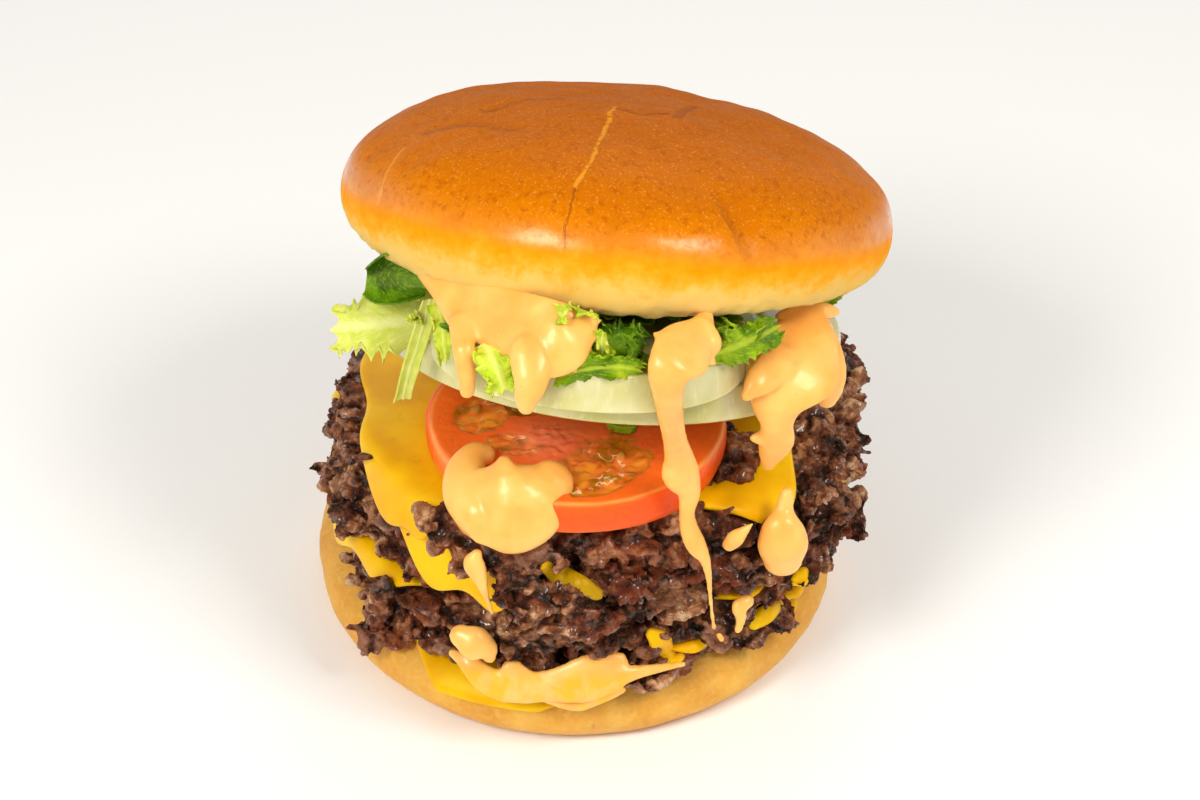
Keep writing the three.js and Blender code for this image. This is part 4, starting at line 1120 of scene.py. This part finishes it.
make_leaf("leaf_scrap", "green", [(6.5, -35, 70.4), (9.5, -36.6, 70.6), (12.6, -35.6, 70.4)],
          (0.1, 0.9, 0.3), taper_both(1.6), 0.4, 1.2, 12, teeth=3, cells=(50, 12))

# Small frizzy leaf tips curl out of the gap between the sauces; their turns are drawn at random.
draw = np.random.default_rng(41)
tips = [(-3, -62, 107.5), (2, -62.5, 110), (7, -63, 107), (11, -62, 110.5), (14.5, -60.5, 106.5),
        (5, -61, 111.5),
        (-0.5, -63.5, 105.8), (28, -55, 108), (33, -52, 107), (-23, -49, 109), (48, -24, 97),
        seen(556, 311, -61), seen(584, 315, -60.2), seen(426, 318, -43.4), seen(604, 342, -62)]
first_bright = 11
flat_tips = (9, 10)
for n, tip in enumerate(tips):
    bright = n >= first_bright
    way = draw.normal(0, 1, 3) + np.array([0, -0.6, 0])
    way *= (2.2 if n in flat_tips else 3.4) / np.linalg.norm(way)
    bow = draw.normal(0, 1.2, 3)
    tint = "bright" if bright else "green" if n % 3 else "dark"
    make_leaf(f"leaf_frizz_{n}", tint, [tip - way, tip + bow, tip + way + 0.3 * bow],
              draw.normal(0, 1, 3), taper_both(draw.uniform(2.0, 3.2)), 0.7 if bright else 1.2, 2.2, 20 + n,
              teeth=4 if bright else 6, bite=0.55, cells=(90, 20))

# Two crumpled leaves fill the gap under the crown all round, like ruffled collars.
bed_centre = (6, -14)


def make_bed(name, tint, share, reach, seed):
    """A ruffled collar of leaf at a share of the height between the onion and the crown."""
    sides = 420
    rows = 26
    rings = []

    def place(u, v):
        angle = turn * u
        ruffle = 1 + 0.1 * ripple(angle, 5, seed) + 0.06 * ripple(angle, 11, seed * 2)
        frill = 0.035 * np.sin(61 * angle + 3 * np.sin(7 * angle)) * v ** 6
        out = 6 + (reach(angle) * (ruffle + frill) - 6) * v
        x = bed_centre[0] + out * np.cos(angle)
        y = bed_centre[1] + out * np.sin(angle)
        wave = 0.13 * v * ripple(angle, 8,
                seed) + 0.08 * np.sin(5 * v + seed) + 0.05 * v ** 2 * ripple(angle, 23, seed)
        low = onion_top(x, y)
        return np.column_stack([x, y, low + (share + wave) * (crown_underside(x, y) - low)])

    u = np.arange(sides) / sides
    levels = list(np.linspace(0, 1, rows + 1))
    for face in (1, -1):
        for v in (levels if face > 0 else levels[::-1]):
            vs = np.full(sides, v)
            normal = np.cross(place(u + 0.001, vs) - place(u - 0.001, vs),
                              place(u, vs + 0.003) - place(u, vs - 0.003))
            normal /= np.linalg.norm(normal, axis=1)[:, None]
            rings.append(place(u, vs) + normal * face * leaf_thickness * (0.5 - 0.28 * v))
    rings.append(rings[0])
    points = np.concatenate(rings[:-1])
    count = len(rings) - 1
    faces = []
    for row in range(count):
        for n in range(sides):
            a, b = row * sides + n, row * sides + (n + 1) % sides
            c, d = ((row + 1) % count) * sides + (n + 1) % sides, ((row + 1) % count) * sides + n
            faces.append((a, b, c, d))
    across = np.repeat([0.5 + 0.5 * v for v in levels + levels[::-1]], sides)
    piece = make_piece(name + "_blade", points, faces, leaf_skins[tint], across=across)
    serve(piece, "lettuce_green", name)


make_bed("leaf_bed_low", "green", 0.28, lambda a: 30 + 16 * (0.5 + 0.5 * np.sin(a)), 2.2)
make_bed("leaf_bed_high", "dark", 0.66, lambda a: 30 + 19 * (0.5 + 0.5 * np.sin(a)), 5.1)

# ---- Burger sauce ----
# A thick pink-orange mayonnaise sauce that runs down over onion, tomato and meat in satin strands
# and blobs, mixed with cheese on the heel. Each pour is a few thick strands melted into one body.
cheesy_below = (23.5, 26.5)
sauce_voxel = 0.00042
sauce_skin = Finish("burger_sauce")
cloud = sauce_skin.noise(7, 2)
specks = sauce_skin.cells(2.2).out("Distance")
base = sauce_skin.ramp(cloud.eased(0.3, 0.7), (0.0, 247, 172, 80), (0.5, 250, 182, 90), (1.0, 252, 190, 102))
few = sauce_skin.noise(9, 1).eased(0.55, 0.6)
base = sauce_skin.blend((1 - specks.eased(0.04, 0.09)) * few * 0.6, base, rgb(196, 110, 30))
low_down = 1 - sauce_skin.height_up().eased(*cheesy_below)
streaks = sauce_skin.noise(8, 3, warp=1.2).eased(0.46, 0.58)
base = sauce_skin.blend(low_down * streaks * 0.85, base, rgb(240, 178, 24))
sauce_skin.set(base_color=base, roughness=0.3 + 0.14 * cloud, coat_weight=0.18, coat_roughness=0.12,
               specular_tint=(1, 0.88, 0.65, 1), normal=sauce_skin.relief(sauce_skin.noise(3, 2), 0.06))
sauce_skin.flesh(0.3, 2.0, (1.0, 0.55, 0.22))
strand_sides = 20
strand_steps = 7
solid_trees = [
    BVHTree.FromPolygons([corner.co for corner in piece.data.vertices],
                         [face.vertices for face in piece.data.polygons])
    for piece in struck_pieces]


def on_meat(across, down):
    """The place in millimetres where a point of the picture falls on beef, cheese or heel."""
    eye = camera.location
    way = (Vector(seen(across, down, 0)) / 1000 - eye).normalized()
    struck = [hit for hit in (tree.ray_cast(eye, way) for tree in solid_trees) if hit[0]]
    return np.array(min(struck, key=lambda hit: hit[3])[0]) * 1000


def make_strand(stations):
    """Rings round a smooth spine of stations, wide across the view; a station without y lies on the meat."""
    sides = strand_sides
    spine = [on_meat(*station[:2]) if station[2] is None else seen(*station[:3]) for station in stations]
    share = np.linspace(0, 1, (len(stations) - 1) * strand_steps + 1)
    centres = spline(spine, share)
    sizes = np.clip(spline([station[3:] for station in stations], share), 0.3, None)
    along = np.gradient(centres, axis=0)
    along /= np.linalg.norm(along, axis=1)[:, None]
    across = np.cross(along, to_camera)
    across /= np.linalg.norm(across, axis=1)[:, None]
    lift = np.cross(across, along)
    rings = []
    for end, sign in ((0, -1), (-1, 1)):
        caps = [(centres[end] + sign * along[end] * sizes[end][0] / 2 * math.sin(a), across[end], lift[end],
                 sizes[end] * math.cos(a)) for a in np.radians([20, 42, 62, 80])]
        rings.append(caps[::-1] if sign < 0 else caps)
    middle = list(zip(centres, across, lift, sizes))
    points = []
    for centre, side, rise, (width, depth) in rings[0] + middle + rings[1]:
        for a in np.arange(sides) * turn / sides:
            points.append(centre + side * math.cos(a) * width / 2 + rise * math.sin(a) * depth / 2)
    faces = []
    for row in range(0, len(points) - sides, sides):
        for n in range(sides):
            after = (n + 1) % sides
            faces.append((row + n, row + after, row + sides + after, row + sides + n))
    faces.append(tuple(range(sides - 1, -1, -1)))
    faces.append(tuple(range(len(points) - sides, len(points))))
    return points, faces


def pour(name, strands, finish, rounds):
    """Strands melted together into one body, smoothed so many rounds."""
    points, faces = [], []
    for stations in strands:
        more, sides = make_strand(stations)
        faces += [tuple(corner + len(points) for corner in face) for face in sides]
        points += more
    drip = make_piece(name + "_strands", points, faces, finish)
    melt(drip, sauce_voxel, 0.6, rounds)
    return baked(drip, name, finish)


# Each pour: strands of stations (place in the picture, how far forward, width, depth).
pours = {
    "sauce_left": [
        [(432, 276, -42, 4, 3), (464, 290, -48.6, 5.6, 3), (500, 303, -54.6, 6.4, 3),
         (536, 314, -59.2, 7, 3),
         (566, 320, -60.6, 6, 3), (590, 322, -60, 3, 2)],
        [(424, 273, -40, 3, 3), (444, 292, -47, 5, 3.4), (466, 313, -52.5, 8.4, 3.6),
         (492, 326, -57, 8.6, 3.6),
         (520, 336, -61, 11, 4), (546, 344, -64, 13, 4.4), (567, 343, -64.5, 11, 4), (586, 333, -62, 5, 3)],
        [(461, 322, -55, 5, 3), (464, 350, -61, 4.4, 3), (467, 376, -63, 3.6, 2.8),
         (467, 392, -63.6, 3, 2.6)],
        [(531, 356, -66, 8.4, 4), (531, 382, -69.6, 6.6, 3.6), (527, 398, -70.4, 5, 3),
         (526, 408, -70.4, 3.4, 2.6)],
        [(556, 352, -65, 7, 3), (567, 364, -66, 3.4, 2.2), (577, 373, -66.4, 0.9, 1)],
        [(574, 330, -62, 5, 2.6), (589, 324, -60.6, 2.4, 1.8), (601, 321, -60, 0.8, 0.9)],
        [(572, 340, -63, 6, 3), (584, 347, -63.4, 2.4, 1.8), (592, 352, -63.6, 0.8, 0.9)]],
    "sauce_centre": [
        [(706, 316, -55, 3, 2.6), (700, 330, -58.5, 6.4, 3), (684, 350, -64.4, 11.4, 3.6),
         (670, 370, -68.4, 8.8, 3.6),
         (668, 392, -68.6, 6, 3.2), (671, 418, -65.6, 5, 3), (675, 440, -62.6, 4.8, 3),
         (679, 458, -60.6, 6, 3.4),
         (681, 474, -59.8, 7.6, 4), (689, 492, -59.6, 4.8, 3.2), (687, 512, -60.2, 3.2, 2.6),
         (689, 528, -60.8, 3.8, 2.8),
         (696, 545, -61.4, 4.2, 3), (705, 560, -61.6, 2.4, 2), (709, 580, -61.8, 1.4, 1.4),
         (711, 605, -61.8, 1, 1),
         (714, 628, -61.6, 1.1, 1.1)],
        [(719, 635, -61.4, 1.5, 1.3), (722, 640, -61.4, 1.3, 1.2)],
        [(680, 350, -64.4, 6, 3), (666, 341, -63.6, 3.4, 2.4), (656, 334, -62.8, 1.4, 1.4)],
        [(700, 332, -59, 6, 2.8), (706, 346, -61, 6.4, 3), (708, 357, -61.6, 3.4, 2.4),
         (714, 364, -61.6, 1.2, 1.2)]],
    "sauce_right": [
        [(808, 313, -35, 7, 3), (806, 335, -41, 13, 3.6), (796, 360, -47, 18.4, 4), (785, 383, -51, 16.6, 4),
         (778, 405, -53.6, 11, 3.8), (777, 424, -53.8, 6.6, 3.4), (776, 440, -53, 7.4, 3.4),
         (771, 455, -52, 5, 3),
         (768, 466, -51.2, 2.4, 2.2)],
        [(822, 343, -36.6, 7, 3), (829, 368, -38.6, 7, 3.4), (829, 388, -38.8, 6, 3.2),
         (827, 400, -38.6, 4, 2.8)],
        [(781, 317, -37, 2.6, 2), (802, 313, -35, 5, 2.6), (826, 311, -32.6, 3.6, 2.2),
         (837, 312, -31, 1.8, 1.6)],
        [(778, 362, -49.6, 8, 3), (759, 382, -54, 6, 3), (747, 395, -56, 2.8, 2)],
        [(768, 438, -52.8, 4.4, 2.4), (754, 438, -53.4, 2, 1.6)]],
    "sauce_tomato": [
        [(485, 454, -46.4, 4.6, 3.4), (474, 458, -48, 6.4, 4.4), (466, 474, -51.4, 8.6, 6),
         (468, 494, -55, 10, 7),
         (478, 510, -58, 10, 7.4)],
        [(487, 505, -57.4, 15, 7), (507, 505, -58.4, 19.4, 8.6), (530, 499, -57.8, 17.4, 8.4),
         (550, 484, -55, 9.6, 6)],
        [(492, 520, -60, 11, 5), (508, 530, -61.6, 8.6, 5), (524, 527, -61, 7.6, 5)]],
    "sauce_drip_right": [
        [(787, 494, -50.6, 3, 2.4), (784, 510, -52, 4.2, 3.2), (783, 526, -54, 8.4, 5),
         (783, 545, -54.8, 10.2, 6.4),
         (783, 560, -54.6, 8, 5)]],
    "sauce_drip_left": [
        [(477, 554, -62.4, 2.4, 2), (474, 563, -63, 4.6, 3), (479, 576, -63.6, 3.4, 2.6),
         (486, 596, -64, 1.5, 1.6),
         (492, 613, -63.8, 1, 1.2)]],
    "sauce_low_left": [
        [(461, 636, -59, 5, 2.6), (474, 643, -60, 7.4, 3.4), (486, 650, -60.4, 5.4, 3),
         (490, 658, -60.4, 2.6, 2)]],
    "sauce_spot_right": [
        [(729, 545, -57, 3, 2.4), (736, 538, -57.4, 3.6, 2.6), (744, 531, -57.4, 2.2, 1.8),
         (752, 524, -57.2, 0.8, 0.9)]],
    "sauce_base": [
        [(452, 653, -54.4, 2, 1.2), (468, 663, -56.6, 4.4, 1.6), (484, 678, -58.6, 6, 1.8),
         (506, 687, -60, 6.6, 2),
         (528, 694, -60.8, 4.2, 1.8), (552, 687, -60.6, 6.4, 2), (580, 686, -60.6, 7.4, 2),
         (606, 679, -60, 6.8, 2),
         (632, 673, -58.8, 3.6, 1.6), (660, 668, -56.8, 2.2, 1.2), (684, 664, -55, 1.4, 1)],
        [(512, 670, -58.2, 5, 1.4), (534, 679, -59.4, 3.6, 1.4), (560, 675, -59.2, 4, 1.4),
         (590, 667, -58.6, 5.8, 1.6),
         (618, 662, -57.6, 4.6, 1.4)],
        [(496, 690, -60.4, 3, 1.4), (503, 699, -61.2, 2, 1.2)],
        [(548, 700, -61.2, 2, 1.2), (575, 705, -61.6, 3, 1.4), (598, 700, -61.4, 2.4, 1.4),
         (622, 690, -60.4, 2, 1.2)],
        [(748, 601, -51.6, 3, 2), (739, 607, -52.6, 3.4, 2), (741, 618, -53.4, 2.4, 1.8),
         (738, 630, -54.4, 1.8, 1.4)]],
}
for node, strands in pours.items():
    serve(pour(node + "_pour", strands, sauce_skin, 9), "sauce", node)

# Small ends of melted cheese lie on the beef where the slices between the patties have run out.
cheese_ends = [
    [(652, 634, None, 3, 2), (660, 641, None, 5, 2.4), (667, 652, None, 3.4, 2.2), (673, 662, None, 2.6, 2),
     (681, 656, None, 2, 1.4)],
    [(753, 624, None, 3, 1.8), (759, 619, None, 4, 2.4), (768, 613, None, 4, 2.4),
     (779, 604, None, 2.6, 1.8)],
    [(790, 594, None, 2.6, 1.8), (795, 590, None, 3.8, 2.4), (799, 587, None, 2.6, 1.8)],
    [(795, 581, None, 2.4, 1.8), (800, 578, None, 4.2, 2.4), (804, 572, None, 2.6, 1.8)],
    [(546, 566, None, 3, 1.6), (560, 575, None, 4.4, 2.2), (580, 584, None, 4, 2.2),
     (597, 594, None, 3, 1.6)],
    [(720, 438, None, 2, 1.6), (722, 450, None, 3, 2), (720, 464, None, 2.4, 1.6)]]
serve(pour("cheese_ends", cheese_ends, cheese_skin, 6), "cheese")

# ---- Pickle chip ----
# One thin slice of gherkin on the heel, dark green and wet; only its edge shows under the meat.
pickle_skin = Finish("pickle_skin")
base = pickle_skin.ramp(pickle_skin.noise(3, 3).eased(0.3, 0.7), (0.0, 52, 66, 18), (1.0, 112, 124, 44))
pickle_skin.set(base_color=base, roughness=0.2, normal=pickle_skin.relief(pickle_skin.noise(2, 2), 0.1))
pickle_skin.flesh(0.3, 2, (0.8, 1.0, 0.3))
pickle_radius = 12.5
pickle_thickness = 1.4
pickle_place = (-14.5, -38)
pickle_profile = [(pickle_radius * share, 0) for share in (0.2, 0.6, 0.95)]
for a in np.linspace(-80, 80, 9):
    bulge = math.cos(math.radians(a))
    lift = 0.5 + 0.5 * math.sin(math.radians(a))
    pickle_profile.append((pickle_radius * (0.96 + 0.04 * bulge), pickle_thickness * lift))
pickle_profile += [(pickle_radius * share, pickle_thickness) for share in (0.92, 0.6, 0.2)]
angle, reach, height, faces = turned_skin(pickle_profile, 96)
reach = reach * (1 + 0.03 * ripple(angle, 5, 1))
points = stood(angle, reach, height) + np.array([*pickle_place, heel_height + gap])
pickle = make_piece("pickle_round", points, faces, pickle_skin)
serve(pickle, "pickle", "pickle_chip")

# ---- Bun crown ----
# The domed top of the bun, leaning back on the pile: a golden-brown baked crust, glossy low on its
# side, with one split, a few creases and a dent, fading to a pale soft band at its lower rim.
crown_radius = 55.3
crown_dome = 23.4
crown_rim = 11
crown_power = 2 / 2.25
crown_profile = [(r, -crown_cut) for r in np.linspace(4, 46, 12)]
for degrees in np.linspace(90, 0, 22)[:-1]:
    a = math.radians(degrees)
    crown_profile.append((crown_radius - crown_rim + crown_rim * math.cos(a * 0.8),
                          -crown_cut * math.sin(a)))
for degrees in np.linspace(0, 89.5, 110):
    a = math.radians(degrees)
    crown_profile.append((crown_radius * math.cos(a) ** crown_power,
                          crown_dome * math.sin(a) ** crown_power))
angle, reach, height, crown_faces = turned_skin(crown_profile, 384)
rise_mark = height.copy()
reach = reach * (1 + 0.004 * ripple(angle, 2, 3.1))
crown_points = stood(angle, reach, height)
x, y = crown_points[:, 0], crown_points[:, 1]
on_top = ease(height, 0, 6)
dent = np.exp(-(((x - 21.5) / 3.2) ** 2) - (((y + 46.5) / 5) ** 2))
swell = 0.5 * lumps(crown_points, 17, 5) + 0.22 * lumps(crown_points, 6, 9)
crown_points[:, 2] += on_top * (swell - 0.6 - 1.2 * dent)
crown_points[:, 2] += ease(-height, 1,
        6) * (0.35 * lumps(crown_points, 3.2, 6) + 0.2 * lumps(crown_points, 1.4, 8))
crown_points[:, 2] -= 2.2 * hump(angle, -108, 38) * ease(-height, 1, 8) * ease(reach, 30, 48)

half_wobble = 1.2
crown_skin = Finish("crown_crust")
rise = crown_skin.mark("rise")
mottle = crown_skin.noise(9, 4)
speckle = crown_skin.noise(1.5, 3)
pores = crown_skin.noise(0.55, 3)
wobble = crown_skin.noise(5, 3).out("Color")
flat_place = crown_skin.node("ShaderNodeMapping", {"vector_type": "TEXTURE"}, {
    "Vector": crown_skin.here, "Location": [value / 1000 for value in crown_place],
    "Rotation": Matrix(crown_pose).to_euler(), "Scale": (0.001, 0.001, 0.001)})
# Places on the crown in its own millimetres, flattened, with a wobble that is undone on average.
flat_place = vector_maths(crown_skin.tree, "MULTIPLY", flat_place, (1, 1, 0))
flat_place = vector_maths(crown_skin.tree, "MULTIPLY_ADD", wobble, (2 * half_wobble, 2 * half_wobble, 0),
        flat_place)


def off_line(*stops):
    """Distance in millimetres from a broken line over the crown, seen from straight above it."""
    nearest = None
    tree = crown_skin.tree
    for start, end in zip(stops, stops[1:]):
        start = Vector((*start, 0)) + Vector((half_wobble, half_wobble, 0))
        run = Vector((*end, 0)) + Vector((half_wobble, half_wobble, 0)) - start
        local = vector_maths(tree, "SUBTRACT", flat_place, start)
        share = vector_maths(tree, "DOT_PRODUCT", local, run / run.length_squared).out("Value")
        foot = vector_maths(tree, "SCALE", run, Scale=share.clamped())
        gap_to = vector_maths(tree, "DISTANCE", local, foot).out("Value")
        nearest = gap_to if nearest is None else nearest.maths("MINIMUM", nearest, gap_to)
    return nearest


split = 1 - off_line((-2.8, -13.3), (-4.7, -28.9), (-7.5, -41.9), (-9.3, -46.8)).eased(0.2, 0.75)
crack = (1 - off_line((-9.4, -47.2), (-10.5, -51.5), (-10.9, -53.8)).eased(0.04, 0.26)) * rise.eased(0.5, 3)
wrinkle = 1 - off_line((9.2, -16), (10.8, -8), (12.8, -1)).eased(0.2, 1.2)
creases = 1 - off_line((-38, -19.4), (-30.4, -20.3), (-22.6, -25.1)).eased(0.3, 2.6)
creases = creases + (1 - off_line((-26.9, -12.8), (-20.3, -8.4), (-13.5, -6.8)).eased(0.3, 2.2))
creases = creases + (1 - off_line((-2.5, -14), (2.4, -17), (6.6, -13.5)).eased(0.2, 1.2))
fold = (1 - off_line((17.4, -44.6), (19.6, -47.2), (21.6, -48.8), (23.6, -49.4)).eased(0.2,
        1.6)) * rise.eased(3, 6) * 0.7
scratch = 1 - off_line((-42.3, -22.5), (-45, -26.4), (-46, -29.5)).eased(0.1, 0.5)
bake = rise + 7.0 * (mottle - 0.5) + 3.5 * (crown_skin.noise(3, 3) - 0.5) + 2.5 * (speckle - 0.5)
base = crown_skin.ramp((bake + 8.5) / 32,
                       (0.0, 220, 188, 112), (0.14, 227, 184, 92), (0.22, 237, 161, 38),
                       (0.30, 236, 144, 4), (0.42, 216, 124, 0), (0.62, 194, 104, 2), (1.0, 180, 92, 10))
crusted = rise.eased(2, 8)
base = crown_skin.blend(speckle.eased(0.52, 0.7) * crusted * 0.4, base, rgb(150, 66, 4))
base = crown_skin.blend(pores.eased(0.54, 0.7) * crusted * 0.28, base, rgb(246, 176, 80))
base = crown_skin.blend(split * speckle.eased(0.3, 0.52) * 0.7, base, rgb(240, 158, 40))
# Painted shade darkens the crack, the wrinkle, the creases and the fold of the dent along their lines.
base = crown_skin.blend(crack * (0.15 + 0.4 * speckle), base, rgb(150, 72, 8))
base = crown_skin.blend(wrinkle * 0.35 + creases * 0.18 + fold * 0.3, base, rgb(140, 62, 8))
base = crown_skin.blend(scratch * 0.4, base, rgb(246, 170, 60))
furrow = 1 - 0.8 * split * pores - 0.5 * crack - 0.9 * wrinkle - 0.9 * creases - fold
crown_relief = crown_skin.relief(pores * 0.25 + speckle * 0.4 + mottle + 2.4 * furrow, 0.20)
glaze = rise.eased(0, 4) * (1 - rise.eased(5, 10))
crown_skin.set(base_color=base,
               roughness=0.5 - 0.3 * rise.eased(-2, 6) + 0.14 * mottle.eased(0.4,
                       0.62) + 0.2 * rise.eased(14, 20),
               specular_ior_level=0.2, specular_tint=(1, 0.8, 0.4, 1), coat_roughness=0.26,
               coat_weight=0.6 * glaze * (1 - 0.5 * speckle.eased(0.45, 0.65)), normal=crown_relief)
crown_skin.dull(0.75 * (1 - glaze), base, crown_relief)
crown_skin.flesh(0.1, 2.0, (1.0, 0.4, 0.1))
crown = make_piece("crown_bun", laid(crown_points, crown_pose), crown_faces, crown_skin, rise=rise_mark)
serve(crown, "crown_crust", "crown")
